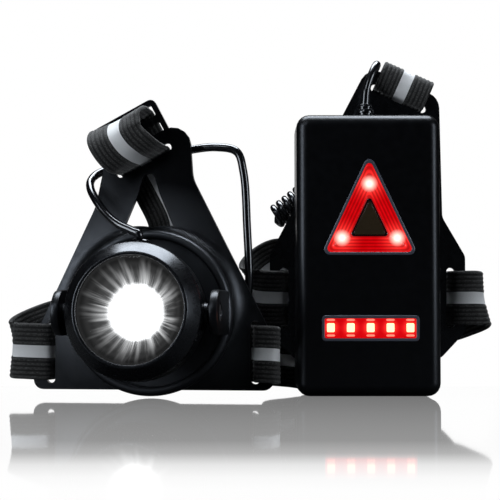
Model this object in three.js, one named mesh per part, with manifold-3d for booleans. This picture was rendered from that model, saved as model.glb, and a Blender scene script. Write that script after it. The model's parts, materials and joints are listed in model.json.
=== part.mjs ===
// Running light set for the chest and back: a tilting front lamp on a strap plate,
// a battery case with red warning lights on its own strap plate, a coiled cable
// between them, and the elastic straps that join the two plates.
//
// Millimetres, +Z up. The lights face -Y. The origin is the middle of the battery
// case's underside, and +X runs from the front lamp towards the battery case.

import * as THREE from 'three';
import { mergeVertices } from 'three/addons/utils/BufferGeometryUtils.js';
import Module from 'manifold-3d';

const wasm = await Module();
wasm.setup();

// ---------------------------------------------------------------- driving sizes

const PLATE_T = 2.3;              // thickness of both strap plates
const WEB_W = 20;                 // elastic webbing: width and thickness
const WEB_T = 1.4;
const SLOT_W = 3.2;               // opening of every strap slot
const SLOT_L = 22.4;
const FIT = 0.1;                  // gap between pieces that rest on each other
const RUN = 0.12;                 // radial gap of a running fit

// front unit: its own frame has u to the right, v backwards, z up
const FRONT_X = -77.5;
const FRONT_Y = -12.5;            // rim of the lamp cradle
const FRONT_YAW = THREE.MathUtils.degToRad(-7);
const LAMP_Z = 29.5;              // height of the lamp's axis
const PLATE_V = 6;                // front face of the strap plate
const RING_R = 29.4;              // lamp cradle: outer and inner radius
const RING_IN = 26;
const PIVOT_V = -19.5;            // tilt axis, in front of the cradle's rim
const PIVOT_R = 1.5;
const BOSS_R = 3.3;               // pivot bosses on the lamp head
const EAR_IN = 25.3;              // yoke ears: inner face, thickness, half height
const EAR_T = 3;
const EAR_H = 7.75;
const HEAD_R = 23.2;
const HEAD_TILT = THREE.MathUtils.degToRad(-4.5);

// rear unit
const CASE_W = 51;
const CASE_D = 25;
const CASE_H = 100;
const CASE_R = 4.2;               // rounding of the case's outer edges
const WALL = 1.8;
const SEAM_Y = 4;                 // joint between the case's two covers
const SEAM_GAP = 0.7;             // filled by the gasket
const REAR_PLATE_Y = CASE_D / 2 + 0.3;

// cable
const CABLE_R = 1.5;
const COIL_WIRE_R = 1.1;

// -------------------------------------------------------------------- materials

function finish(color, roughness, metalness = 0) {
  return new THREE.MeshStandardMaterial({ color, roughness, metalness });
}

const BLACK_MATTE = finish(0x141416, 0.55);
const BLACK_SATIN = finish(0x111113, 0.4);
const BLACK_GLOSS = finish(0x0b0b0c, 0.15);
const RUBBER = finish(0x18181a, 0.8);
const WEBBING = finish(0x2b2b2e, 0.9);
const CLEAR = finish(0xf4f7fa, 0.05);
const MIRROR = finish(0xd8dade, 0.12, 1);
const RED_LENS = finish(0xd0101a, 0.2);
const LED_WHITE = finish(0xfff7e0, 0.4);
const LED_RED = finish(0xff5040, 0.4);
const BOARD = finish(0x1d5a34, 0.5);
const STEEL = finish(0xb8bbc0, 0.3, 1);
const ALUMINIUM = finish(0xa9adb3, 0.4, 1);
const CELL_WRAP = finish(0x2f6fb0, 0.4);
const SMOKED = finish(0x2a1c10, 0.3);

// ------------------------------------------------------------- geometry helpers

// A closed geometry with shared vertices, no empty triangles and faces pointing out.
function welded(source) {
  const bare = source.index ? source.clone() : source;
  bare.deleteAttribute('normal');
  bare.deleteAttribute('uv');
  const merged = mergeVertices(bare, 1e-4);
  const old = merged.index.array;
  const position = merged.attributes.position;
  const corner = [new THREE.Vector3(), new THREE.Vector3(), new THREE.Vector3()];
  const kept = [];
  let volume = 0;
  for (let i = 0; i < old.length; i += 3) {
    const [a, b, c] = [old[i], old[i + 1], old[i + 2]];
    if (a === b || b === c || c === a) continue;
    kept.push(a, b, c);
    [a, b, c].forEach((v, k) => corner[k].fromBufferAttribute(position, v));
    volume += corner[0].dot(corner[1].cross(corner[2])) / 6;
  }
  if (volume < 0) {
    for (let i = 0; i < kept.length; i += 3) {
      [kept[i], kept[i + 1]] = [kept[i + 1], kept[i]];
    }
  }
  merged.setIndex(kept);
  return merged;
}

function toManifold(geometry) {
  const g = welded(geometry);
  return new wasm.Manifold(new wasm.Mesh({
    numProp: 3,
    vertProperties: new Float32Array(g.attributes.position.array),
    triVerts: new Uint32Array(g.index.array),
  }));
}

function fromManifold(manifold) {
  const mesh = manifold.getMesh();
  const g = new THREE.BufferGeometry();
  g.setAttribute('position', new THREE.BufferAttribute(mesh.vertProperties, 3));
  g.setIndex(new THREE.BufferAttribute(mesh.triVerts, 1));
  g.computeVertexNormals();
  return g;
}

function combine(method, first, others) {
  let result = toManifold(first);
  for (const other of others) {
    result = result[method](toManifold(other));
  }
  return fromManifold(result);
}

const join = (first, ...others) => combine('add', first, others);
const cut = (first, ...others) => combine('subtract', first, others);
const common = (first, ...others) => combine('intersect', first, others);

function box(x0, x1, y0, y1, z0, z1) {
  const g = new THREE.BoxGeometry(x1 - x0, y1 - y0, z1 - z0);
  return g.translate((x0 + x1) / 2, (y0 + y1) / 2, (z0 + z1) / 2);
}

// Outline with rounded corners. Each corner is [x, y, radius].
function outline(corners, arcSteps = 5) {
  const points = [];
  corners.forEach(([x, y, radius], i) => {
    const here = new THREE.Vector2(x, y);
    const before = corners[(i + corners.length - 1) % corners.length];
    const after = corners[(i + 1) % corners.length];
    const toBefore = new THREE.Vector2(before[0] - x, before[1] - y).normalize();
    const toAfter = new THREE.Vector2(after[0] - x, after[1] - y).normalize();
    if (!radius) {
      points.push(here);
      return;
    }
    const half = Math.acos(THREE.MathUtils.clamp(toBefore.dot(toAfter), -1, 1)) / 2;
    const inward = toBefore.clone().add(toAfter).normalize();
    const centre = here.clone().addScaledVector(inward, radius / Math.sin(half));
    const reach = radius / Math.tan(half);
    const start = here.clone().addScaledVector(toBefore, reach).sub(centre);
    const end = here.clone().addScaledVector(toAfter, reach).sub(centre);
    const sweep = Math.atan2(start.cross(end), start.dot(end));
    for (let k = 0; k <= arcSteps; k += 1) {
      const arm = start.clone().rotateAround(new THREE.Vector2(), (sweep * k) / arcSteps);
      points.push(centre.clone().add(arm));
    }
  });
  return points;
}

function rectangle(x, z, width, height, radius, arcSteps = 4) {
  const [w, h] = [width / 2, height / 2];
  return outline([[x - w, z - h, radius], [x + w, z - h, radius],
    [x + w, z + h, radius], [x - w, z + h, radius]], arcSteps);
}

// A straight slot with round ends, turned by an angle in degrees.
function slot(x, z, length, width, degrees) {
  const turn = THREE.MathUtils.degToRad(degrees);
  const centre = new THREE.Vector2(x, z);
  return rectangle(x, z, length, width, width / 2 - 0.05)
    .map((p) => p.rotateAround(centre, turn));
}

// Extrudes an (x, z) outline along Y, from yFront to yBack.
function slab(points, yFront, yBack, holes = []) {
  const shape = new THREE.Shape(points);
  shape.holes = holes.map((hole) => new THREE.Path(hole));
  const g = new THREE.ExtrudeGeometry(shape, { depth: yBack - yFront, bevelEnabled: false });
  return g.rotateX(Math.PI / 2).translate(0, yBack, 0);
}

// Turns an [r, y] profile about the Y axis.
function turned(profile, segments = 30) {
  return new THREE.LatheGeometry(profile.map(([r, y]) => new THREE.Vector2(r, y)), segments);
}

function rodX(x, y, z, radius, length, sides = 20) {
  const g = new THREE.CylinderGeometry(radius, radius, length, sides);
  return g.rotateZ(Math.PI / 2).translate(x, y, z);
}

function rodY(x, y, z, radius, length, sides = 20) {
  return new THREE.CylinderGeometry(radius, radius, length, sides).translate(x, y, z);
}

function rodZ(x, y, z, radius, length, sides = 20) {
  const g = new THREE.CylinderGeometry(radius, radius, length, sides);
  return g.rotateX(Math.PI / 2).translate(x, y, z);
}

// A closed solid through a list of rings, each an array of points in the same order.
function throughRings(rings) {
  const n = rings[0].length;
  const position = rings.flat().flatMap((p) => [p.x, p.y, p.z]);
  const index = [];
  for (let i = 0; i + 1 < rings.length; i += 1) {
    for (let k = 0; k < n; k += 1) {
      const [a, b] = [i * n + k, i * n + ((k + 1) % n)];
      index.push(a, b, a + n, b, b + n, a + n);
    }
  }
  const last = (rings.length - 1) * n;
  for (let k = 1; k + 1 < n; k += 1) {
    index.push(0, k + 1, k, last, last + k, last + k + 1);
  }
  const g = new THREE.BufferGeometry();
  g.setAttribute('position', new THREE.Float32BufferAttribute(position, 3));
  g.setIndex(index);
  return g;
}

// Flat webbing along stations [x, y, z, lean]. Lean is the angle in degrees of the
// webbing's width from +Z towards +X.
function ribbon(stations, steps) {
  const path = new THREE.CatmullRomCurve3(
    stations.map(([x, y, z]) => new THREE.Vector3(x, y, z)), false, 'centripetal');
  const rings = [];
  for (let i = 0; i <= steps; i += 1) {
    const t = i / steps;
    const along = t * (stations.length - 1);
    const k = Math.min(Math.floor(along), stations.length - 2);
    const lean = THREE.MathUtils.degToRad(
      THREE.MathUtils.lerp(stations[k][3] ?? 0, stations[k + 1][3] ?? 0, along - k));
    const centre = path.getPoint(t);
    const forward = path.getTangent(t);
    const wide = new THREE.Vector3(Math.sin(lean), 0, Math.cos(lean));
    wide.addScaledVector(forward, -wide.dot(forward)).normalize();
    const thick = forward.clone().cross(wide).normalize();
    rings.push([[-1, -1], [1, -1], [1, 1], [-1, 1]].map(([a, b]) => centre.clone()
      .addScaledVector(wide, (a * WEB_W) / 2).addScaledVector(thick, (b * WEB_T) / 2)));
  }
  return throughRings(rings);
}

// A round cord through points, with a radius for each point.
function cord(points, radii, sides = 5) {
  const rings = [];
  let side = new THREE.Vector3(0, 1, 0);
  points.forEach((p, i) => {
    const forward = points[Math.min(i + 1, points.length - 1)].clone()
      .sub(points[Math.max(i - 1, 0)]).normalize();
    side = side.clone().addScaledVector(forward, -side.dot(forward)).normalize();
    const up = forward.clone().cross(side);
    rings.push(Array.from({ length: sides }, (_, k) => {
      const a = (2 * Math.PI * k) / sides;
      return p.clone().addScaledVector(side, radii[i] * Math.cos(a))
        .addScaledVector(up, radii[i] * Math.sin(a));
    }));
  });
  return throughRings(rings);
}

// A pan screw along Y: head at yHead, shank running to yTip.
function panScrew(x, z, yHead, yTip, headR = 2.4, shankR = 1.1) {
  const way = Math.sign(yHead - yTip);
  const head = rodY(x, yHead + way * 0.7, z, headR, 1.4, 12);
  const shank = rodY(x, (yHead + yTip) / 2, z, shankR, Math.abs(yHead - yTip) + 0.2, 8);
  const recess = rodY(x, yHead + way * 1.4, z, 1.2, 1.2, 6);
  return cut(join(head, shank), recess);
}

function piece(parent, name, geometry, material) {
  const mesh = new THREE.Mesh(welded(geometry), material);
  mesh.geometry.computeVertexNormals();
  mesh.name = name;
  parent.add(mesh);
  return mesh;
}

const model = new THREE.Group();
const front = new THREE.Group();
front.position.set(FRONT_X, FRONT_Y, 0);
front.rotation.z = FRONT_YAW;
model.add(front);
const head = new THREE.Group();
head.position.set(0, PIVOT_V, LAMP_Z);
head.rotation.x = HEAD_TILT;
front.add(head);

// A point of the front unit's frame, as a station of the whole model's frame.
function fromFront(u, v, z, lean = 0) {
  const [c, s] = [Math.cos(FRONT_YAW), Math.sin(FRONT_YAW)];
  return [FRONT_X + c * u - s * v, FRONT_Y + s * u + c * v, z, lean];
}

// ------------------------------------------------------------ front strap plate

const APEX_TURN = 28;             // slant of the shoulder strap's slot
const SCREW_RING_R = 23;
const CRADLE_SCREW_ANGLES = [90, 210, 330];

function frontPlate() {
  const edge = outline([
    [-43.3, 2.1, 3.5], [43.3, 2.1, 3.5], [43.3, 20.4, 3], [14.4, 77.5, 12],
    [12.9, 99.8, 6.5], [-17.6, 83.6, 4], [-20.9, 67.6, 20], [-43.3, 20.4, 3]]);
  const window = outline([[-11.6, 57.5, 2], [-5.4, 72, 4], [-3.3, 79.2, 1.8],
    [0.3, 79.2, 1.8], [2.4, 72, 4], [8.6, 57.5, 2]], 4);
  const holes = [
    slot(-3.4, 84.1, SLOT_L, SLOT_W, APEX_TURN),
    slot(-37, 15.5, SLOT_L, SLOT_W, 90),
    slot(36.8, 15.5, SLOT_L, SLOT_W, 90),
  ];
  CRADLE_SCREW_ANGLES.forEach((degrees) => {
    const a = THREE.MathUtils.degToRad(degrees);
    holes.push(rectangle(SCREW_RING_R * Math.cos(a), LAMP_Z + SCREW_RING_R * Math.sin(a),
      2.6, 2.6, 1.25, 3));
  });
  return cut(slab(edge, PLATE_V, PLATE_V + PLATE_T, holes),
    slab(window, PLATE_V - 1, PLATE_V + PLATE_T + 1));
}
piece(front, 'front_strap_plate', frontPlate(), BLACK_SATIN);

// -------------------------------------------------------------- lamp cradle

const FLANGE_IN = 20.5;

function earBlank(side) {
  const x = side * (EAR_IN + EAR_T / 2);
  const tab = join(
    box(x - EAR_T / 2, x + EAR_T / 2, PIVOT_V, 2.5, LAMP_Z - EAR_H, LAMP_Z + EAR_H),
    rodX(x, PIVOT_V, LAMP_Z, EAR_H, EAR_T, 32));
  const bore = rodX(x, PIVOT_V, LAMP_Z, PIVOT_R + RUN, EAR_T + 2);
  const headRecess = rodX(side * (EAR_IN + EAR_T), PIVOT_V, LAMP_Z, 3.2, 2.6);
  return cut(tab, bore, headRecess);
}

function lampCradle() {
  const back = PLATE_V - FIT;
  const ring = turned([
    [FLANGE_IN, back], [RING_R, back], [RING_R, 1.4], [RING_R - 0.4, 0.5],
    [RING_R - 1.5, 0], [RING_IN + 1, 0.2], [RING_IN, 1.2], [RING_IN, back - 2],
    [FLANGE_IN, back - 2], [FLANGE_IN, back]], 40).translate(0, 0, LAMP_Z);
  const screwHoles = CRADLE_SCREW_ANGLES.map((degrees) => {
    const a = THREE.MathUtils.degToRad(degrees);
    return rodY(SCREW_RING_R * Math.cos(a), back, LAMP_Z + SCREW_RING_R * Math.sin(a),
      1.1 + RUN, 3.2, 12);
  });
  return cut(join(ring, earBlank(-1), earBlank(1)), ...screwHoles);
}
piece(front, 'lamp_cradle', lampCradle(), BLACK_MATTE);

CRADLE_SCREW_ANGLES.forEach((degrees, i) => {
  const a = THREE.MathUtils.degToRad(degrees);
  const screw = panScrew(SCREW_RING_R * Math.cos(a), LAMP_Z + SCREW_RING_R * Math.sin(a),
    PLATE_V + PLATE_T + FIT, PLATE_V - 1.4);
  piece(front, `cradle_screw_${i + 1}`, screw, STEEL);
});

// Pivot screws and the friction washers between ears and lamp head.
function pivotScrew(side) {
  const outer = EAR_IN + EAR_T - 0.2;
  const screwHead = rodX(side * (outer - 0.45), PIVOT_V, LAMP_Z, 2.9, 0.9, 20);
  const shank = rodX(side * (outer + 20.4) / 2, PIVOT_V, LAMP_Z, PIVOT_R, outer - 20.4 - 0.2);
  const recess = rodX(side * outer, PIVOT_V, LAMP_Z, 1.2, 0.8, 6);
  return cut(join(screwHead, shank), recess);
}

function frictionWasher(side) {
  const x = side * (EAR_IN - 0.45);
  return cut(rodX(x, PIVOT_V, LAMP_Z, BOSS_R, 0.6, 24),
    rodX(x, PIVOT_V, LAMP_Z, PIVOT_R + RUN, 2));
}
piece(front, 'pivot_screw_left', pivotScrew(-1), STEEL);
piece(front, 'pivot_screw_right', pivotScrew(1), STEEL);
piece(front, 'friction_washer_left', frictionWasher(-1), RUBBER);
piece(front, 'friction_washer_right', frictionWasher(1), RUBBER);

// ---------------------------------------------------------------- lamp head
// Profiles are [radius, distance behind the tilt axis].

const SHELL_R = 21.5;
const SHELL_WALL = 1.8;
const BEZEL_FRONT = -13.4;
const LENS_R = 18.6;
const GROMMET_A = 8;              // cable entry, behind the tilt axis
const GROMMET_U = -1.5;

function headShell() {
  const arc = (radius, from, to, steps) => Array.from({ length: steps + 1 }, (_, i) => {
    const a = THREE.MathUtils.degToRad(from + ((to - from) * i) / steps);
    return [radius * Math.sin(a), radius * Math.cos(a)];
  });
  const outside = arc(SHELL_R, 0, 82, 9);
  const inside = arc(SHELL_R - SHELL_WALL, 88, 0, 7);
  outside[0][0] = 0;
  inside[inside.length - 1][0] = 0;
  const profile = [...outside, [HEAD_R, 1], [HEAD_R, -3.4], [SHELL_R - SHELL_WALL, -3.4],
    ...inside];
  const bosses = [-1, 1].map((side) => rodX(side * 22, 0, 0, BOSS_R, 4.6, 24));
  const inner = box(-19.6, 19.6, -5, 5, -5, 5);
  const bores = [-1, 1].map((side) => rodX(side * 22, 0, 0, PIVOT_R + RUN, 6.4));
  const shell = join(turned(profile), cut(bosses[0], inner), cut(bosses[1], inner));
  const cablePort = rodZ(GROMMET_U, GROMMET_A, 20, 1.7, 8, 16);
  const seat = rodZ(GROMMET_U, GROMMET_A, 25, 4.4, 11.2, 24);
  return cut(shell, ...bores, cablePort, common(seat, box(-10, 10, 0, 20, 19.4, 32)));
}
piece(head, 'head_shell', headShell(), BLACK_MATTE);

const bezelProfile = [
  [HEAD_R, -3.6], [HEAD_R, -6.4], [HEAD_R - 0.5, -8], [HEAD_R - 1.7, -9.6],
  [LENS_R + 1.6, -12.9], [LENS_R + 0.9, BEZEL_FRONT], [LENS_R - 0.4, BEZEL_FRONT + 0.2],
  [LENS_R - 0.5, -12.5], [LENS_R + 0.25, -12.5], [LENS_R + 0.25, -9.4],
  [HEAD_R - 1.9, -7], [HEAD_R - 1.9, -3.6], [HEAD_R, -3.6]];
piece(head, 'head_bezel', turned(bezelProfile), BLACK_MATTE);
piece(head, 'front_lens', turned([[0, -13.1], [7, -13], [LENS_R - 2, -12.6],
  [LENS_R - 1, -12.35], [LENS_R, -12.3], [LENS_R, -10.9], [0, -10.9]]), CLEAR);
piece(head, 'lens_seal', turned([[LENS_R - 0.9, -10.8], [LENS_R, -10.8], [LENS_R, -9.9],
  [LENS_R - 0.9, -9.9], [LENS_R - 0.9, -10.8]]), RUBBER);

const REFLECTOR_STEPS = 4;
function reflectorProfile() {
  const cup = (offset) => (i) => {
    const depth = i / REFLECTOR_STEPS;
    return [4.2 + offset + (12.5 - offset * 0.2) * Math.sqrt(depth), -10.6 * depth - 0.2];
  };
  const steps = Array.from({ length: REFLECTOR_STEPS + 1 }, (_, i) => i);
  const inside = steps.map(cup(0));
  const outside = steps.map(cup(0.9)).reverse();
  return [...inside, ...outside, inside[0]];
}
piece(head, 'reflector', turned(reflectorProfile()), MIRROR);
piece(head, 'led_emitter', join(box(-1.8, 1.8, -0.3, 0.6, -1.8, 1.8),
  new THREE.SphereGeometry(1.3, 12, 6).translate(0, -0.8, 0)), LED_WHITE);
piece(head, 'led_board', rodY(0, 1.3, 0, 9.5, 1.2, 24), BOARD);
piece(head, 'heat_sink', turned([[0, 2], [15.5, 2], [15.5, 5.5], [12, 5.5], [12, 7],
  [9, 7], [9, 12], [0, 12]], 32), ALUMINIUM);

function cableGrommet() {
  const flange = rodZ(0, 0, 0, 3.9, 3.2, 20).scale(1, 0.62, 1).translate(GROMMET_U, GROMMET_A, 21.3);
  const collar = rodZ(0, 0, 0, 3.2, 2.4, 20).scale(1, 0.68, 1).translate(GROMMET_U, GROMMET_A, 23.7);
  return join(flange, collar);
}
piece(head, 'cable_grommet', cableGrommet(), BLACK_GLOSS);

// ------------------------------------------------------------ rear battery case

const CASE_MID_Z = CASE_H / 2;
const CASE_FRONT = -CASE_D / 2;
const CASE_BACK = CASE_D / 2;
const TRIANGLE = { x: 0.2, top: 84.4, base: 50.8, half: 15.8 };
const BAR = { x: 0.45, z: 24.05, width: 34.2, height: 8.9 };
const CASE_SCREWS = [[-20.5, 6], [20.5, 6], [-20.5, 94], [20.5, 94]];
const PLATE_SCREWS = [[-12, 22], [12, 22], [0, 88]];

// The case's outer form: rounded seen from the front, from above and from the side.
function caseBlank() {
  const r = CASE_R;
  const seenFront = slab(rectangle(0, CASE_MID_Z, CASE_W, CASE_H, r), CASE_FRONT, CASE_BACK);
  const fromAbove = new THREE.ExtrudeGeometry(new THREE.Shape(outline([
    [-CASE_W / 2, CASE_FRONT, r], [CASE_W / 2, CASE_FRONT, r],
    [CASE_W / 2, CASE_BACK, 2], [-CASE_W / 2, CASE_BACK, 2]], 4)),
  { depth: CASE_H, bevelEnabled: false });
  return common(seenFront, fromAbove);
}

function caseCavity() {
  const side = CASE_W - 2 * WALL;
  const tall = CASE_H - 2 * WALL;
  return slab(rectangle(0, CASE_MID_Z, side, tall, 3, 3), CASE_FRONT + WALL, CASE_BACK - WALL);
}

function triangleOutline(grow, radius) {
  const { x, top, base, half } = TRIANGLE;
  return outline([[x - half - grow, base - grow * 0.6, radius],
    [x + half + grow, base - grow * 0.6, radius], [x, top + grow * 1.6, radius]], 3);
}

function caseScrewPosts(yFront, yBack, radius) {
  return CASE_SCREWS.map(([x, z]) => rodY(x, (yFront + yBack) / 2, z, radius,
    yBack - yFront, 10));
}

function caseFrontCover() {
  const front = common(caseBlank(), box(-40, 40, CASE_FRONT - 1, SEAM_Y, -1, 101));
  const hollow = cut(caseCavity(), ...caseScrewPosts(CASE_FRONT, SEAM_Y + 0.5, 3));
  const lensHole = slab(triangleOutline(0.1, 1), CASE_FRONT - 1, CASE_FRONT + WALL + 1);
  const barHole = slab(rectangle(BAR.x, BAR.z, BAR.width + 0.2, BAR.height + 0.2, 1.3, 2),
    CASE_FRONT - 1, CASE_FRONT + WALL + 1);
  const bores = caseScrewPosts(CASE_FRONT + 6, SEAM_Y + 1, 1.1 + RUN);
  return cut(front, hollow, lensHole, barHole, ...bores);
}

const BUTTON = { y: -2.6, z: 72, width: 5, height: 12 };
const PORT = { y: -2.6, z: 30, width: 3.4, height: 8.4 };

function sideOpening(opening, grow) {
  const { y, z, width, height } = opening;
  return box(CASE_W / 2 - WALL - 1, CASE_W / 2 + 1, y - width / 2 - grow,
    y + width / 2 + grow, z - height / 2 - grow, z + height / 2 + grow);
}
piece(model, 'case_front_cover', cut(caseFrontCover(), sideOpening(BUTTON, 0.2),
  sideOpening(PORT, 0.2), box(CASE_W / 2 - 0.9, CASE_W / 2 + 1, PORT.y - 4.1, PORT.y + 4.1,
    PORT.z - 8.2, PORT.z + 8.2)), BLACK_MATTE);

function caseRearCover() {
  const rear = common(caseBlank(), box(-40, 40, SEAM_Y + SEAM_GAP, CASE_BACK + 1, -1, 101));
  const hollow = cut(caseCavity(), ...caseScrewPosts(SEAM_Y, CASE_BACK, 3));
  const bores = caseScrewPosts(SEAM_Y, CASE_BACK + 1, 1.1 + RUN);
  const headSeats = caseScrewPosts(CASE_BACK - 1.7, CASE_BACK + 1, 2.6);
  const plateScrews = PLATE_SCREWS.map(([x, z]) => rodY(x, CASE_BACK, z, 1.1 + RUN, 6, 12));
  return cut(rear, hollow, ...bores, ...headSeats, ...plateScrews,
    rodZ(0.5, 6.6, CASE_H - 1, 1.7, 4, 16));
}

piece(model, 'case_rear_cover', caseRearCover(), BLACK_MATTE);

function caseGasket() {
  const outer = rectangle(0, CASE_MID_Z, CASE_W - 0.6, CASE_H - 0.6, CASE_R - 0.4, 3);
  const inner = rectangle(0, CASE_MID_Z, CASE_W - 2 * WALL, CASE_H - 2 * WALL, 3, 3);
  return slab(outer, SEAM_Y + FIT, SEAM_Y + SEAM_GAP - FIT, [inner]);
}
piece(model, 'case_gasket', caseGasket(), RUBBER);

CASE_SCREWS.forEach(([x, z], i) => {
  piece(model, `case_screw_${i + 1}`, panScrew(x, z, CASE_BACK - 1.6, -3), STEEL);
});

// Warning triangle, its dark centre, the bar, and the lamps behind them.
const LENS_Y = CASE_FRONT + 0.25;
const BOARD_Y = CASE_FRONT + 4.4;
const CENTRE_TRIANGLE = [[-6.4, 56.9, 1.2], [6.4, 56.9, 1.2], [0, 70.3, 1.2]];

function warningLens() {
  const hole = outline(CENTRE_TRIANGLE.map(([x, z, r]) => [x + TRIANGLE.x, z, r]), 3);
  return slab(triangleOutline(-0.1, 1), LENS_Y, LENS_Y + 1.6, [hole]);
}
piece(model, 'warning_triangle_lens', warningLens(), RED_LENS);

function triangleCentre() {
  const shrink = [[-6, 57.15, 1], [6, 57.15, 1], [0, 69.7, 1]];
  return slab(outline(shrink.map(([x, z, r]) => [x + TRIANGLE.x, z, r]), 3),
    LENS_Y - 0.15, LENS_Y + 1.6);
}
piece(model, 'triangle_centre_window', triangleCentre(), SMOKED);

piece(model, 'light_bar_lens', slab(rectangle(BAR.x, BAR.z, BAR.width, BAR.height, 1.2, 2),
  LENS_Y, LENS_Y + 1.6), RED_LENS);

function led(x, z, width, height) {
  return box(x - width / 2, x + width / 2, BOARD_Y - 1.5, BOARD_Y - FIT,
    z - height / 2, z + height / 2);
}
[[0.2, 75.1], [-9.5, 55.9], [10, 55.9]].forEach(([x, z], i) => {
  piece(model, `triangle_led_${i + 1}`, led(x, z, 3, 3), LED_RED);
});
const BAR_LED_PITCH = 7;
for (let i = 0; i < 5; i += 1) {
  piece(model, `bar_led_${i + 1}`,
    led(BAR.x + (i - 2) * BAR_LED_PITCH, BAR.z + 0.2, 2.7, 3.1), LED_RED);
}
piece(model, 'light_board', cut(slab(rectangle(0, 51, 38, 82, 1.5, 2), BOARD_Y,
  BOARD_Y + 1.2), rodY(0, BOARD_Y, 94, 1.5, 6, 12)), BOARD);

const CELL = { r: 8.6, length: 65, x: -5, y: 1.8, z: 50 };
piece(model, 'battery_cell', rodZ(CELL.x, CELL.y, CELL.z, CELL.r, CELL.length, 32),
  CELL_WRAP);
[['cell_tab_top', 1], ['cell_tab_bottom', -1]].forEach(([name, way]) => {
  const z = CELL.z + way * (CELL.length / 2 + 0.4);
  piece(model, name, box(CELL.x - 4, CELL.x + 4, -3, 7, z - 0.25, z + 0.25), STEEL);
});

// Charging board on the case's right side, with its socket, switch, button and flap.
piece(model, 'charge_board', box(17, 18.2, -6, 3, 22, 80), BOARD);
piece(model, 'button_switch', box(18.3, 21, BUTTON.y - 2, BUTTON.y + 2, BUTTON.z - 3,
  BUTTON.z + 3), BLACK_GLOSS);
piece(model, 'charge_socket', cut(box(18.3, 24.2, PORT.y - 1.6, PORT.y + 1.6, PORT.z - 4,
  PORT.z + 4), box(19.5, 25, PORT.y - 1.1, PORT.y + 1.1, PORT.z - 3.4, PORT.z + 3.4)), STEEL);

const BUTTON_TRAVEL = 0.8;
function powerButton() {
  const { y, z, width, height } = BUTTON;
  const cap = box(CASE_W / 2 - 2.2, CASE_W / 2 + 0.9, y - width / 2, y + width / 2,
    z - height / 2, z + height / 2);
  const flange = box(CASE_W / 2 - 3, CASE_W / 2 - 2, y - width / 2 - 0.8,
    y + width / 2 + 0.8, z - height / 2 - 0.8, z + height / 2 + 0.8);
  return join(cap, flange);
}
piece(model, 'power_button', powerButton(), RUBBER);

const FLAP_HINGE_Z = PORT.z - 7.6;
function portFlap() {
  const { y, z } = PORT;
  return box(CASE_W / 2 - 0.7, CASE_W / 2 + 0.5, y - 3.8, y + 3.8, FLAP_HINGE_Z, z + 7.6);
}
piece(model, 'charge_port_flap', portFlap(), RUBBER);

// -------------------------------------------------------------- rear strap plate

const REAR_APEX_TURN = -24;
function rearPlate() {
  const edge = outline([
    [-25.4, 12.4, 4], [28.6, 12.4, 4], [38.1, 22.5, 5], [38.1, 50.5, 4], [29.7, 65, 5],
    [28.8, 110, 6.3], [2.3, 121.8, 6], [-34.6, 51.1, 4], [-34.6, 21.4, 4]], 4);
  const holes = [
    slot(13.6, 109.7, SLOT_L, SLOT_W, REAR_APEX_TURN),
    slot(-29.3, 35, SLOT_L, SLOT_W, 90),
    slot(32.6, 35, SLOT_L, SLOT_W, 90),
    ...PLATE_SCREWS.map(([x, z]) => rectangle(x, z, 2.6, 2.6, 1.25, 3))];
  return slab(edge, REAR_PLATE_Y, REAR_PLATE_Y + PLATE_T, holes);
}
piece(model, 'rear_strap_plate', rearPlate(), BLACK_SATIN);
PLATE_SCREWS.forEach(([x, z], i) => {
  const screw = panScrew(x, z, REAR_PLATE_Y + PLATE_T + FIT, CASE_BACK - WALL + 0.1);
  piece(model, `plate_screw_${i + 1}`, screw, STEEL);
});

// ------------------------------------------------------------------------ cable

const RELIEF = { x: 0.5, y: 6.6 };
function strainRelief() {
  const { x, y } = RELIEF;
  return join(rodZ(x, y, CASE_H + 1.6, 3.45, 3, 24), rodZ(x, y, CASE_H + 4.4, 2.3, 2.8, 20));
}
piece(model, 'cable_strain_relief', strainRelief(), RUBBER);

const vector = ([x, y, z]) => new THREE.Vector3(x, y, z);
const COIL = { start: [-32.6, 21.4, 65.4], axis: [0.78, 0, 0.626], turns: 12, pitch: 2.7, r: 3.5 };

function coilPoints(stepsPerTurn) {
  const along = vector(COIL.axis).normalize();
  const back = new THREE.Vector3(0, 1, 0);
  const up = along.clone().cross(back).negate();
  return Array.from({ length: COIL.turns * stepsPerTurn + 1 }, (_, i) => {
    const turn = i / stepsPerTurn;
    const a = 2 * Math.PI * turn;
    return vector(COIL.start).addScaledVector(along, COIL.pitch * turn)
      .addScaledVector(back, COIL.r * Math.cos(a)).addScaledVector(up, COIL.r * Math.sin(a));
  });
}

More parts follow.
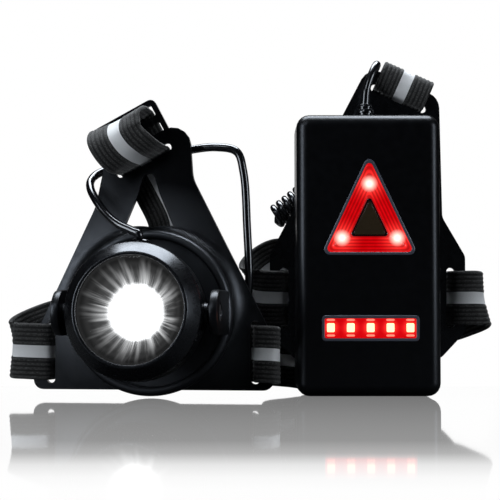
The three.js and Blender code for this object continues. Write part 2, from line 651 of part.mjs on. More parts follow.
function powerCable() {
  const frontLead = [fromFront(GROMMET_U, -11.2, LAMP_Z + 27), fromFront(-4.2, -10.3, 57.9),
    fromFront(-9.3, -8.4, 60.2), fromFront(-14.6, -5.2, 64.3), fromFront(-18.9, -2, 69.4),
    fromFront(-21.6, 1.4, 73.4), fromFront(-22.6, 5.2, 76.6), fromFront(-21.4, 10.2, 79.8),
    fromFront(-15, 15.4, 83), fromFront(-2, 15.9, 86.2),
    fromFront(10.4, 14.4, 88.4), fromFront(22, 12, 89.2), fromFront(29.5, 11.6, 87.4),
    fromFront(32, 11.2, 80), fromFront(33.4, 10.6, 60), [-42.4, -5.6, 40], [-43.4, -2.5, 30.6],
    [-44.6, 8, 29.4], [-44.2, 19.5, 31], [-38, 24.4, 35], [-29, 24.4, 44], [-22.5, 24.4, 56],
    [-24.4, 25.1, 64]];
  const rearLead = [[-6.4, 20.4, 93], [-4.6, 18.2, 101], [-1.6, 17.1, 108.6],
    [2, 17.3, 115.4], [4.4, 17.3, 119.8], [5.6, 14, 122], [5.2, 10.8, 121.9],
    [3.4, 8.2, 118.4], [1.2, 6.9, 112.5], [RELIEF.x, RELIEF.y, 105.9]];
  const lead = new THREE.CatmullRomCurve3(frontLead.map(vector), false, 'centripetal')
    .getPoints(68);
  const coil = coilPoints(8);
  const bridge = new THREE.CatmullRomCurve3([coil[coil.length - 1], ...rearLead.map(vector)],
    false, 'centripetal').getPoints(28);
  const points = [...lead, ...coil, ...bridge.slice(1)];
  const radii = points.map((_, i) => {
    const fromCoil = Math.max(lead.length - 3 - i, i - (lead.length + coil.length + 1));
    return THREE.MathUtils.clamp(COIL_WIRE_R + fromCoil * 0.1, COIL_WIRE_R, CABLE_R);
  });
  return cord(points, radii);
}
piece(model, 'coiled_cable', powerCable(), BLACK_GLOSS);

// ----------------------------------------------------------------------- straps
// Each strap passes through a slot, so its path turns steeply there.

function sideStrapLeft() {
  return ribbon([
    fromFront(-26, 11.4, 15.5), fromFront(-32.5, 11.2, 15.5), fromFront(-36.2, 9.6, 15.5),
    fromFront(-36.9, 7.2, 15.5), fromFront(-37.6, 4.9, 15.5), fromFront(-40.5, 3.9, 15.6),
    fromFront(-46, 3.8, 15.8), fromFront(-50.3, 5.4, 16, 3), fromFront(-51.2, 9, 17, 4),
    fromFront(-47.5, 13.4, 20, 0), fromFront(-38, 15.6, 24, -6), fromFront(-24, 16.6, 27),
    fromFront(-8, 20.4, 28), [-71.5, 26.6, 29], [-60, 31.6, 30], [-46, 33.4, 29.4],
    [-28, 33.4, 29], [-10, 33.4, 29], [10, 33.4, 29], [22, 31, 28.6], [31, 24, 28], [38.5, 19.5, 30.5, -3],
    [43.5, 15.5, 33, -8], [44.4, 11.6, 34.6, -9], [41.5, 9.3, 35, -6], [37, 9.4, 35],
    [33.9, 11, 35], [32.6, 14, 35], [31.6, 16.9, 35], [28.6, 18.1, 35], [23.5, 18.3, 35]], 74);
}
piece(model, 'side_strap_left', sideStrapLeft(), WEBBING);

function sideStrapRight() {
  return ribbon([
    fromFront(26, 11.4, 15), fromFront(32.3, 11.2, 15), fromFront(36, 9.6, 15),
    fromFront(36.7, 7.2, 15), fromFront(37.4, 4.9, 15), fromFront(40.2, 3.9, 15),
    fromFront(43.6, 4.1, 14.8), [-32, -10.5, 14.4], [-32.9, -3, 13.8], [-36.4, 6, 13],
    [-36.6, 12.6, 12.6], [-33.6, 17.2, 12.2], [-27, 18.4, 11.6],
    [-20, 18.3, 10.8], [-6, 18.6, 11], [6, 18.8, 11.6], [12.4, 19.8, 12.6, 3],
    [15, 22.4, 13.8, 6], [12.4, 25, 15, 4], [4, 25.8, 17.6], [-6, 25.2, 24],
    [-15, 23.2, 34], [-23, 20.4, 44], [-30.5, 19, 47.6, -20], [-37.4, 18.4, 43.5, -12],
    [-40.8, 15.4, 38.5, -4], [-40.6, 11.6, 36, -2], [-37.6, 9.3, 35.2], [-33.4, 9.4, 35], [-30.5, 11, 35],
    [-29.3, 14, 35], [-28.3, 16.3, 35], [-26.6, 17.4, 35]], 72);
}
piece(model, 'side_strap_right', sideStrapRight(), WEBBING);

// The shoulder strap's width follows the slant of the slots.
const SHOULDER_LEAN = 90 - APEX_TURN;
const REAR_LEAN = 90 - REAR_APEX_TURN;
function shoulderStrap() {
  const f = (u, v, z, lean = SHOULDER_LEAN) => fromFront(u, v, z, lean);
  return ribbon([
    f(-5.6, 12.9, 89.3), f(-7.4, 12.9, 92.7), f(-9, 12.7, 95.8), f(-9.9, 11.7, 97.5),
    f(-10.05, 9.7, 97.75), f(-10.1, 7.6, 97.8), f(-11, 3, 98), f(-12.2, -2.5, 95.8),
    f(-11.4, -6, 91.6), f(-8.8, -5.6, 87.6), f(-5.6, -2, 84.9), f(-3.8, 3.5, 84.1),
    f(-3.4, 7.2, 84.1), f(-3.1, 9.6, 83.5), f(-1.6, 11.6, 80.6), f(2, 12.6, 74),
    f(6.4, 14.6, 64), [-68, 9.5, 49, 68], [-61.5, 15.5, 34, 74], [-55, 24, 18, 80],
    [-49, 32, 12, 86], [-42, 40, 12.4, 94], [-33, 43.6, 22, 104], [-22, 40.6, 42, 110],
    [-8, 32.6, 68, 112], [2.4, 26, 87, REAR_LEAN], [9, 20.6, 99.4, REAR_LEAN],
    [11.6, 18.3, 105.1, REAR_LEAN], [13, 17.3, 108.3, REAR_LEAN],
    [13.5, 16.1, 109.5, REAR_LEAN], [13.6, 14, 109.7, REAR_LEAN],
    [13.7, 11.8, 109.9, REAR_LEAN], [14.4, 10.6, 111.5, REAR_LEAN],
    [16, 10.4, 115.1, REAR_LEAN], [17.4, 11.6, 118.2, REAR_LEAN],
    [17.8, 14.2, 119.2, REAR_LEAN], [17.5, 17, 118.5, REAR_LEAN],
    [15.8, 19.4, 114.6, REAR_LEAN], [13.4, 20.8, 109.3, REAR_LEAN],
    [10.6, 22.6, 103, REAR_LEAN]], 84);
}
piece(model, 'shoulder_strap', shoulderStrap(), WEBBING);

// Three-bar strap adjuster in its own frame: long side along X, threaded along Z.
const GLIDE = { length: 25.4, height: 15, thick: 2, slotLength: 21.4, slotWidth: 4.2 };
function glideBlank() {
  const { length, height, thick, slotLength, slotWidth } = GLIDE;
  const holes = [-1, 1].map((side) =>
    rectangle(0, side * (height / 4 - 0.35), slotLength, slotWidth, 0.6, 2));
  return slab(rectangle(0, 0, length, height, 2.2, 4), -thick / 2, thick / 2, holes);
}
const shoulderGlide = piece(front, 'shoulder_strap_glide', glideBlank(), BLACK_GLOSS);
shoulderGlide.position.set(-8.4, 9.7, 94.6);
shoulderGlide.rotation.set(0, -THREE.MathUtils.degToRad(APEX_TURN), 0);

// Side adjusters: bars in front of the webbing, centre bar behind it.
const SIDE_GLIDE_GAP = 0.35;
function sideGlide() {
  const { length, height } = GLIDE;
  const gap = WEB_T / 2 + SIDE_GLIDE_GAP;
  const frontBars = [-1, 1].map((side) => box(-length / 2, length / 2, -gap - 1.6, -gap,
    side * (height / 2) - 1.6, side * (height / 2) + 1.6));
  const centreBar = box(-length / 2, length / 2, gap, gap + 1.6, -1.6, 1.6);
  const cheeks = [-1, 1].map((side) => box(side * (length / 2 + 0.1) - 1, side * (length / 2 + 0.1) + 1,
    -gap - 1.6, gap + 1.6, -height / 2 - 1.6, height / 2 + 1.6));
  return join(frontBars[0], frontBars[1], centreBar, cheeks[0], cheeks[1]);
}
const leftGlide = piece(model, 'side_strap_glide_left', sideGlide(), BLACK_GLOSS);
leftGlide.position.set(-5, 33.4, 29);
leftGlide.rotation.set(0, Math.PI / 2, 0);

export default model;
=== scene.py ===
"""Looks of the chest-worn running light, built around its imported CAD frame.

Lengths are metres. MM turns the millimetres that the design is written in into metres.
"""
import json
import math

import bmesh
import bpy
from mathutils import Matrix, Vector


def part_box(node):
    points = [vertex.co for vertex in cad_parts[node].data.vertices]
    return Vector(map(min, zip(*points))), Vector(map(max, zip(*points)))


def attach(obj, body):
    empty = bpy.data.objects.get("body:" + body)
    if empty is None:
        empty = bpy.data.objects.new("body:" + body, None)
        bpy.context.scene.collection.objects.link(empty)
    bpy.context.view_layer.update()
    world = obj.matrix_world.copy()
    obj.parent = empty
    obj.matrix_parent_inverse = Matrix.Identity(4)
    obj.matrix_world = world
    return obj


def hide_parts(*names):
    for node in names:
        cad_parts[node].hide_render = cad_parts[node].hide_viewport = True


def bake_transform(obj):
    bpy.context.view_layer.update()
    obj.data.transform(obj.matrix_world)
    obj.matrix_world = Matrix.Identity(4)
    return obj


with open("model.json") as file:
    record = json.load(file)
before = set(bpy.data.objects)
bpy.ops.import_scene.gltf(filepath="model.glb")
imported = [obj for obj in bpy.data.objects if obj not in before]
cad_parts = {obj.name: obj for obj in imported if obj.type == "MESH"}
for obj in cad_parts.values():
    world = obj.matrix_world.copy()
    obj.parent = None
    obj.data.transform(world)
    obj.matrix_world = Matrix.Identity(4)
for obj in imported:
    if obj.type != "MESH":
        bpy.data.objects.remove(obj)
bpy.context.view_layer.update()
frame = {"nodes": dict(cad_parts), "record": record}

MM = 0.001
scene = bpy.context.scene

# ------------------------------------------------------------------- places
# The front unit is turned about the vertical; its lamp head also tilts.

FRONT_YAW = math.radians(-7)
HEAD_TILT = math.radians(-4.5)
tilt = next(j for j in frame["record"]["behaviour"]["joints"] if j["name"] == "head_tilt")
PIVOT = Vector(tilt["pos_m"])
PIVOT_V = -19.5 * MM              # tilt axis, in front of the cradle's rim

YAW = Matrix.Rotation(FRONT_YAW, 4, "Z")
FRONT = Matrix.Translation(PIVOT) @ YAW @ Matrix.Translation((0, -PIVOT_V, 0))
HEAD = Matrix.Translation(PIVOT) @ YAW @ Matrix.Rotation(HEAD_TILT, 4, "X")


def from_front(u, v, z, lean=0.0):
    """A station given in the front unit's frame: right, back, height above the floor."""
    p = FRONT @ Vector((u * MM, v * MM, 0))
    return (p.x / MM, p.y / MM, z, lean)


def box_mm(node):
    """A CAD node's lowest and highest corners, in millimetres."""
    return [tuple(round(v / MM, 3) for v in corner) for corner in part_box(node)]


# ---------------------------------------------------------- material helpers

class Nodes:
    """Short calls for building one material's node tree."""

    def __init__(self, name):
        self.material = bpy.data.materials.new(name)
        self.material.use_nodes = True
        self.tree = self.material.node_tree
        self.shader = self.tree.nodes["Principled BSDF"]

    def node(self, kind, **settings):
        made = self.tree.nodes.new(kind)
        for key, value in settings.items():
            setattr(made, key, value)
        return made

    def put(self, socket, value):
        if isinstance(value, bpy.types.NodeSocket):
            self.tree.links.new(value, socket)
        else:
            socket.default_value = value

    def math(self, operation, a, b=0.0, c=0.0):
        made = self.node("ShaderNodeMath", operation=operation)
        for socket, value in zip(made.inputs, (a, b, c)):
            self.put(socket, value)
        return made.outputs[0]

    def noise(self, vector, scale, detail=3.0):
        made = self.node("ShaderNodeTexNoise")
        self.put(made.inputs["Vector"], vector)
        made.inputs["Scale"].default_value = scale
        made.inputs["Detail"].default_value = detail
        return made.outputs["Fac"]

    def place(self):
        return self.node("ShaderNodeTexCoord").outputs["Object"]

    def axes(self, vector):
        split = self.node("ShaderNodeSeparateXYZ")
        self.put(split.inputs[0], vector)
        return tuple(split.outputs)

    def uv(self):
        return self.axes(self.node("ShaderNodeUVMap", uv_map="UV").outputs[0])[:2]

    def ramp(self, factor, low, high, start=0.0, end=1.0):
        made = self.node("ShaderNodeMapRange", clamp=True)
        self.put(made.inputs["Value"], factor)
        for key, value in (("From Min", start), ("From Max", end),
                           ("To Min", low), ("To Max", high)):
            self.put(made.inputs[key], value)
        return made.outputs["Result"]

    def mix(self, factor, a, b):
        made = self.node("ShaderNodeMix", data_type="RGBA")
        self.put(made.inputs["Factor"], factor)
        self.put(made.inputs["A"], a)
        self.put(made.inputs["B"], b)
        return made.outputs["Result"]

    def bump(self, height, strength, distance):
        made = self.node("ShaderNodeBump")
        self.put(made.inputs["Height"], height)
        made.inputs["Strength"].default_value = strength
        made.inputs["Distance"].default_value = distance
        self.put(self.shader.inputs["Normal"], made.outputs["Normal"])

    def set(self, **values):
        for key, value in values.items():
            self.put(self.shader.inputs[key.replace("_", " ")], value)


def grey(value):
    return (value, value, value, 1.0)


def tint(r, g, b):
    return (r, g, b, 1.0)


def cool(value):
    """A near-black with the faint blue of the moulded parts."""
    return (value * 0.88, value * 0.95, value * 1.25, 1.0)


COOL_SHINE = tint(0.83, 0.89, 1.0)


def moulded(name, dark, light, rough, grain_scale, grain, coat=0.0, shine=0.5):
    """Moulded plastic or rubber: fine grain, slight colour drift and worn gloss."""
    n = Nodes(name)
    place = n.place()
    drift = n.noise(place, 55.0)
    scuff = n.noise(place, 420.0, 6.0)
    n.set(Base_Color=n.mix(drift, dark, light),
          Roughness=n.ramp(scuff, rough - 0.02, rough + 0.04, 0.35, 0.7),
          Specular_IOR_Level=shine, Specular_Tint=COOL_SHINE, Coat_Weight=coat,
          Coat_Roughness=0.12)
    n.bump(n.noise(place, grain_scale, 2.0), grain, 0.00012)
    return n.material


def metal(name, colour, rough):
    n = Nodes(name)
    place = n.place()
    marks = n.noise(place, 900.0, 5.0)
    n.set(Base_Color=n.mix(n.noise(place, 120.0), colour, tint(*[c * 0.8 for c in colour[:3]])),
          Metallic=1.0, Roughness=n.ramp(marks, rough - 0.06, rough + 0.12))
    n.bump(marks, 0.12, 0.0001)
    return n.material


BLACK_MATTE = moulded("black_matte", cool(0.0012), cool(0.002), 0.34, 2500.0, 0.04, shine=0.4)
CASE_MATTE = moulded("case_matte", cool(0.0012), cool(0.002), 0.32, 5200.0, 0.1, shine=0.34)
BLACK_SATIN = moulded("black_satin", cool(0.0014), cool(0.0024), 0.27, 1500.0, 0.02, shine=0.6)
RING_SATIN = moulded("ring_satin", cool(0.0014), cool(0.0024), 0.4, 1500.0, 0.02, shine=0.95)
BLACK_GLOSS = moulded("black_gloss", cool(0.0024), cool(0.004), 0.14, 900.0, 0.03, 0.8)
RUBBER = moulded("soft_rubber", grey(0.004), grey(0.007), 0.6, 3000.0, 0.22)
CABLE = moulded("cable_jacket", cool(0.0022), cool(0.0038), 0.2, 700.0, 0.05, 0.9)
STEEL = metal("zinc_steel", tint(0.55, 0.56, 0.58), 0.28)
ALUMINIUM = metal("turned_aluminium", tint(0.62, 0.63, 0.65), 0.32)
BOARD = moulded("solder_mask", tint(0.012, 0.09, 0.035), tint(0.02, 0.13, 0.05), 0.3, 1500.0, 0.1)
CELL = moulded("cell_wrap", tint(0.02, 0.1, 0.35), tint(0.03, 0.14, 0.45), 0.25, 800.0, 0.05)


WEB_W = 20.0                      # webbing width and thickness, millimetres
WEB_T = 1.4
STRIPE_HALF = 2.2                 # half width of the reflective stripe
RIBS_PER_SIDE = 5
THREAD_PITCH = 0.55
THREADS_ACROSS = 46
RIB_PITCH = (WEB_W / 2 - STRIPE_HALF) / RIBS_PER_SIDE


def webbing():
    """Ribbed elastic with a woven reflective stripe. UV: across 0..1, along in millimetres."""
    n = Nodes("ribbed_webbing")
    across, along = n.uv()
    place = n.place()
    from_mid = n.math("ABSOLUTE", n.math("SUBTRACT", across, 0.5))
    stripe = n.math("LESS_THAN", from_mid, STRIPE_HALF / WEB_W)
    weft = n.math("SINE", n.math("MULTIPLY", along, 2 * math.pi / THREAD_PITCH))
    warp = n.math("SINE", n.math("MULTIPLY", across, 2 * math.pi * THREADS_ACROSS))
    weave = n.math("MULTIPLY", weft, warp)
    fuzz = n.noise(place, 2600.0, 4.0)
    wear = n.noise(place, 160.0, 3.0)
    threads = n.math("ADD", n.math("MULTIPLY", weave, 0.06), fuzz)
    yarn = n.mix(n.ramp(threads, 0.0, 1.0, 0.38, 0.68), grey(0.003), grey(0.085))
    from_stripe = n.math("SUBTRACT", n.math("MULTIPLY", from_mid, WEB_W), STRIPE_HALF)
    rib = n.math("COSINE", n.math("MULTIPLY", from_stripe, 2 * math.pi / RIB_PITCH))
    # The grooves between the ribs are darkened towards black: painted shade.
    yarn = n.mix(n.ramp(rib, 0.0, 1.0, -0.3, 0.7), yarn, grey(0.0015))
    yarn = n.mix(n.ramp(wear, 0.0, 0.2, 0.5, 0.75), yarn, grey(0.08))
    dots = n.math("ADD", n.math("MULTIPLY", weave, 0.35), n.math("MULTIPLY", fuzz, 0.5))
    silver = n.mix(n.ramp(dots, 0.0, 1.0, -0.2, 0.7), tint(0.72, 0.73, 0.75), tint(0.88, 0.89, 0.9))
    n.set(Base_Color=n.mix(stripe, yarn, silver), Roughness=n.ramp(stripe, 0.88, 0.5),
          Sheen_Weight=n.ramp(stripe, 0.35, 0.0), Sheen_Roughness=0.4)
    n.bump(n.math("ADD", weave, fuzz), 0.55, 0.00012)
    return n.material


WEBBING = webbing()


SWELL_FROM = 27 * MM              # the plate's swell, measured out from the lamp's middle
SWELL_TO = 66 * MM
SWELL_HEIGHT = 6 * MM


def plate_satin():
    """The front plate: swelling towards the lamp, with a painted highlight (more specular strength) on
    its left flank.
    """
    n = Nodes("front_plate_satin")
    place = n.node("ShaderNodeNewGeometry").outputs["Position"]
    scuff = n.noise(place, 420.0, 6.0)
    n.set(Base_Color=n.mix(n.noise(place, 55.0), cool(0.0007), cool(0.0012)),
          Roughness=n.ramp(scuff, 0.3, 0.42, 0.35, 0.7))
    far = n.node("ShaderNodeVectorMath", operation="DISTANCE")
    n.put(far.inputs[0], place)
    far.inputs[1].default_value = FRONT.to_translation()
    away = n.ramp(far.outputs["Value"], 1.0, 0.0, SWELL_FROM, SWELL_TO)
    lamp_x = FRONT.to_translation().x
    # Specular strength raised towards the left flank and round the lamp: a painted highlight, not wear.
    painted_left_highlight = n.ramp(n.axes(place)[0], 0.34, 0.05, lamp_x - 0.026, lamp_x + 0.004)
    n.set(Specular_IOR_Level=n.math("MAXIMUM", painted_left_highlight, n.ramp(away, 0.0, 0.6, 0.45, 0.85)),
          Specular_Tint=COOL_SHINE)
    swell = n.math("POWER", away, 1.7)
    n.bump(n.math("ADD", swell, n.math("MULTIPLY", n.noise(place, 4200.0), 0.01)), 1.0, SWELL_HEIGHT)
    return n.material


FRONT_SATIN = plate_satin()


def clear_plastic():
    n = Nodes("clear_lens")
    haze = n.noise(n.place(), 500.0)
    n.set(Base_Color=tint(0.96, 0.98, 1.0), Transmission_Weight=1.0,
          Roughness=n.ramp(haze, 0.01, 0.05), IOR=1.45, Alpha=0.22)
    return n.material


# The glow's sizes are shares of the optic's radius.
CORE_R = 0.41
CORE_FADE_R = 0.55
CORE_STRENGTH = 2.6
# Coarse and fine rays: how fine, how far out they reach, how strong, which pattern.
GLOW_RAYS = ((4.2, 1.0, 0.9, 0.0), (9.0, 0.86, 1.1, 7.0))


def lamp_glow():
    """The lit optic: a burnt-out white core with rays running out over the reflector."""
    n = Nodes("lamp_glow")
    x, y = n.uv()
    radius = n.math("SQRT", n.math("ADD", n.math("MULTIPLY", x, x), n.math("MULTIPLY", y, y)))
    angle = n.math("ARCTAN2", y, x)
    glow = n.ramp(radius, CORE_STRENGTH, 0.0, CORE_R, CORE_FADE_R)
    for fineness, longest, strength, seed in GLOW_RAYS:
        spot_place = n.node("ShaderNodeCombineXYZ")
        n.put(spot_place.inputs[0], n.math("MULTIPLY", n.math("COSINE", angle), fineness))
        n.put(spot_place.inputs[1], n.math("MULTIPLY", n.math("SINE", angle), fineness))
        n.put(spot_place.inputs[2], n.math("ADD", n.math("MULTIPLY", radius, 0.5), seed))
        ray = n.ramp(n.noise(spot_place.outputs[0], 1.7, 2.0), 0.0, 1.0, 0.5, 0.66)
        fall = n.math("POWER", n.ramp(radius, 1.0, 0.0, 0.42, longest), 1.6)
        glow = n.math("ADD", glow, n.math("MULTIPLY", n.math("MULTIPLY", ray, fall), strength))
    haze = n.math("MULTIPLY", n.math("POWER", n.ramp(radius, 1.0, 0.0, 0.4, 1.0), 2.0), 0.14)
    rings = n.ramp(n.math("SINE", n.math("MULTIPLY", radius, 46.0)), 0.012, 0.022, -1.0, 1.0)
    glow = n.math("ADD", glow, n.math("ADD", haze, rings))
    n.set(Base_Color=grey(0.0), Roughness=0.5, Specular_IOR_Level=0.0,
          Emission_Color=tint(0.98, 0.99, 1.0), Emission_Strength=glow)
    return n.material


LENS_RIB_PITCH = 1.15             # millimetres between the warning lens's ribs


def red_lens(name, lamps, spread, lined=False):
    """Lit red moulding, brighter round each lamp behind it. lined adds ribs along UV x."""
    n = Nodes(name)
    place = n.place()
    x, _, z = n.axes(place)
    halo = 0.0
    for lamp in lamps:
        dx = n.math("SUBTRACT", x, lamp.x)
        dz = n.math("SUBTRACT", z, lamp.z)
        far = n.math("SQRT", n.math("ADD", n.math("MULTIPLY", dx, dx), n.math("MULTIPLY", dz, dz)))
        near = n.math("POWER", n.ramp(far, 1.0, 0.0, 0.0, spread), 2.2)
        halo = n.math("ADD", halo, near)
    mottle = n.noise(place, 380.0, 3.0)
    red = n.mix(n.ramp(mottle, 0.0, 1.0, 0.3, 0.75), tint(0.8, 0.0008, 0.003), tint(0.98, 0.002, 0.006))
    lit = n.mix(n.math("MINIMUM", n.math("MULTIPLY", halo, 1.3), 1.0), red, tint(1.0, 0.07, 0.055))
    if lined:
        inward = n.uv()[0]
        rib = n.math("SINE", n.math("MULTIPLY", inward, 2 * math.pi / LENS_RIB_PITCH))
        edge = n.ramp(inward, 1.0, 0.0, 0.35, 0.7)
        shade = n.ramp(rib, 0.2, 1.0, -0.5, 0.6)
        lit = n.mix(n.math("MAXIMUM", shade, edge), n.mix(0.55, lit, grey(0.0)), lit)
    core = n.ramp(halo, 0.0, 1.0, 0.36, 0.92)
    lit = n.mix(core, lit, tint(1.0, 0.85, 0.72))
    n.set(Base_Color=tint(0.05, 0.0, 0.001), Roughness=0.2, Emission_Color=lit,
          Emission_Strength=n.math("ADD", 0.74, n.math("MULTIPLY", halo, 1.3)),
          Specular_IOR_Level=0.25)
    return n.material


def lit_chip(name, colour, strength):
    n = Nodes(name)
    speckle = n.noise(n.place(), 2400.0)
    n.set(Base_Color=colour, Roughness=0.3, Emission_Color=colour,
          Emission_Strength=n.ramp(speckle, strength * 0.8, strength * 1.2, 0.3, 0.7))
    return n.material


RED_CHIP = lit_chip("red_chip", tint(1.0, 0.25, 0.12), 2.0)
WHITE_CHIP = lit_chip("white_chip", tint(1.0, 0.99, 0.96), 4.0)
PALE_CHIP = lit_chip("pale_chip", tint(1.0, 0.82, 0.42), 1.4)
DASH = lit_chip("red_dash", tint(1.0, 0.2, 0.14), 1.2)
RIM = moulded("lens_rim", cool(0.07), cool(0.1), 0.3, 3000.0, 0.1)


def smoked():
    n = Nodes("smoked_window")
    place = n.place()
    n.set(Base_Color=n.mix(n.noise(place, 300.0), tint(0.01, 0.007, 0.004), tint(0.03, 0.02, 0.01)),
          Roughness=0.3, Emission_Color=tint(0.045, 0.03, 0.014), Emission_Strength=0.12)
    n.bump(n.noise(place, 700.0), 0.3, 0.0003)
    return n.material


# ---------------------------------------------------------- geometry helpers

def finish_object(name, bm, material, body, replaces=(), smooth_angle=40.0):
    bmesh.ops.remove_doubles(bm, verts=bm.verts, dist=1e-6)
    bmesh.ops.recalc_face_normals(bm, faces=bm.faces)
    mesh = bpy.data.meshes.new(name)
    bm.to_mesh(mesh)
    bm.free()
    mesh.materials.append(material)
    mesh.shade_smooth()
    mesh.set_sharp_from_angle(angle=math.radians(smooth_angle))
    piece = bpy.data.objects.new(name, mesh)
    scene.collection.objects.link(piece)
    if replaces:
        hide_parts(*replaces)
    if body:
        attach(piece, body)
    return piece


def rings_to_bmesh(rings, closed_ends=True, loop=False, uvs=None):
    """Joins rings of points into a skin. uvs gives (ring, point) a UV."""
    bm = bmesh.new()
    layer = bm.loops.layers.uv.new("UV")
    grid = [[bm.verts.new(p) for p in ring] for ring in rings]
    count = len(rings[0])
    pairs = range(len(rings) if loop else len(rings) - 1)
    for i in pairs:
        j = (i + 1) % len(rings)
        for k in range(count):
            m = (k + 1) % count
            face = bm.faces.new((grid[i][k], grid[i][m], grid[j][m], grid[j][k]))
            if uvs:
                corners = ((i, k), (i, m), (j, m), (j, k))
                for loop_corner, key in zip(face.loops, corners):
                    loop_corner[layer].uv = uvs(*key)
    if closed_ends and not loop:
        for i, ring in ((0, grid[0]), (len(rings) - 1, grid[-1])):
            face = bm.faces.new(ring)
            if uvs:
                for k, loop_corner in enumerate(face.loops):
                    loop_corner[layer].uv = uvs(i, k)
    return bm


def rounded(corners, steps=4):
    """Rounds the corners of a flat outline. Each corner is (x, y, radius)."""
    points = []
    for i, (x, y, radius) in enumerate(corners):
        here = Vector((x, y))
        if not radius:
            points.append(here)
            continue
        before = (Vector(corners[i - 1][:2]) - here).normalized()
        after = (Vector(corners[(i + 1) % len(corners)][:2]) - here).normalized()
        half = math.acos(max(-1.0, min(1.0, before.dot(after)))) / 2
        centre = here + (before + after).normalized() * radius / math.sin(half)
        reach = radius / math.tan(half)
        start = here + before * reach - centre
        end = here + after * reach - centre
        sweep = math.atan2(start.x * end.y - start.y * end.x, start.dot(end))
        for k in range(steps + 1):
            points.append(centre + Matrix.Rotation(sweep * k / steps, 2) @ start)
    return points


def circle(radius, sides):
    return [Vector((radius * math.cos(a), radius * math.sin(a)))
            for a in (2 * math.pi * k / sides for k in range(sides))]


def turned(name, profile, place, material, body, replaces=(), segments=96, steps=5):
    """Turns an (r, y, rounding) profile in millimetres about the local Y axis."""
    flat = rounded(profile, steps)
    rings = []
    for s in range(segments):
        a = 2 * math.pi * s / segments
        rings.append([place @ (Vector((p.x * math.cos(a), p.y, p.x * math.sin(a))) * MM)
                      for p in flat])
    bm = rings_to_bmesh(rings, loop=True)
    bmesh.ops.remove_doubles(bm, verts=bm.verts, dist=1e-7)
    bmesh.ops.dissolve_degenerate(bm, edges=bm.edges, dist=1e-8)
    return finish_object(name, bm, material, body, replaces)


def plug(name, outlines, y_values, place, material, body, replaces=()):
    """A solid through flat (x, z) outlines in millimetres, one at each y."""
    rings = [[place @ (Vector((p.x, y, p.y)) * MM) for p in outline]
             for outline, y in zip(outlines, y_values)]
    return finish_object(name, rings_to_bmesh(rings), material, body, replaces)


def frame_ring(name, outlines, y_values, material, body, replaces=(), across=None):
    """A closed hoop through outlines that come back to the first one. across sets UV x."""
    rings = [[Vector((p.x, y, p.y)) * MM for p in outline]
             for outline, y in zip(outlines, y_values)]
    uvs = (lambda i, k: (across[i], 0.0)) if across else None
    return finish_object(name, rings_to_bmesh(rings, loop=True, uvs=uvs), material, body, replaces)


def spline(stations, per_span):
    """Centripetal Catmull-Rom curve through stations, as the CAD's curve is."""
    points = [Vector(s[:3]) for s in stations]
    leans = [s[3] if len(s) > 3 else 0.0 for s in stations]
    result = []
    for i in range(len(points) - 1):
        p1, p2 = points[i], points[i + 1]
        p0 = points[i - 1] if i else p1 * 2 - p2
        p3 = points[i + 2] if i + 2 < len(points) else p2 * 2 - p1
        d0, d1, d2 = (max((b - a).length ** 0.5, 1e-4) for a, b in ((p0, p1), (p1, p2), (p2, p3)))
        t1 = ((p1 - p0) / d0 - (p2 - p0) / (d0 + d1) + (p2 - p1) / d1) * d1
        t2 = ((p2 - p1) / d1 - (p3 - p1) / (d1 + d2) + (p3 - p2) / d2) * d1
        last = i == len(points) - 2
        for k in range(per_span + (1 if last else 0)):
            t = k / per_span
            a = p1 * 2 - p2 * 2 + t1 + t2
            b = p2 * 3 - p1 * 3 - t1 * 2 - t2
            here = p1 + t1 * t + b * t * t + a * t ** 3
            result.append((here, leans[i] + (leans[i + 1] - leans[i]) * t))
    return result




def web_section():
    """Half section of the webbing: (across, height) from one edge to the other."""
    points = []
    per_rib = 4
    for side in (-1, 1):
        ribs = []
        for k in range(RIBS_PER_SIDE * per_rib + 1):
            x = STRIPE_HALF + RIB_PITCH * k / per_rib
            swell = 0.5 - 0.5 * math.cos(2 * math.pi * k / per_rib)
            ribs.append((side * min(x, WEB_W / 2), WEB_T / 2 - 0.2 + 0.26 * swell))
        points.extend(reversed(ribs) if side < 0 else ribs)
    points[0] = (-WEB_W / 2, 0.25)
    points[-1] = (WEB_W / 2, 0.25)
    return points


def strap(name, stations, node, body="base"):
    """Webbing along stations (x, y, z, lean); lean turns its width from +Z towards +X."""
    path = spline(stations, 9)
    half = web_section()
    section = half + [(x, -h) for x, h in reversed(half)]
    rings = []
    travelled = [0.0]
    for i, (here, lean) in enumerate(path):
        forward = (path[min(i + 1, len(path) - 1)][0] - path[max(i - 1, 0)][0]).normalized()
        angle = math.radians(lean)
        wide = Vector((math.sin(angle), 0, math.cos(angle)))
        wide = (wide - forward * wide.dot(forward)).normalized()
        thick = forward.cross(wide)
        rings.append([(here + wide * x + thick * h) * MM for x, h in section])
        if i:
            travelled.append(travelled[-1] + (here - path[i - 1][0]).length)
    bm = rings_to_bmesh(rings, uvs=lambda i, k: (section[k][0] / WEB_W + 0.5, travelled[i]))
    return finish_object(name, bm, WEBBING, body, (node,), smooth_angle=60.0)


def cord(name, points, radii, material, body=None, sides=16):
    side = Vector((0, 1, 0))
    rings = []
    for i, p in enumerate(points):
        forward = (points[min(i + 1, len(points) - 1)] - points[max(i - 1, 0)]).normalized()
        side = (side - forward * side.dot(forward)).normalized()
        up = forward.cross(side)
        rings.append([(p + (side * math.cos(a) + up * math.sin(a)) * radii[i]) * MM
                      for a in (2 * math.pi * k / sides for k in range(sides))])
    return finish_object(name, rings_to_bmesh(rings), material, body)


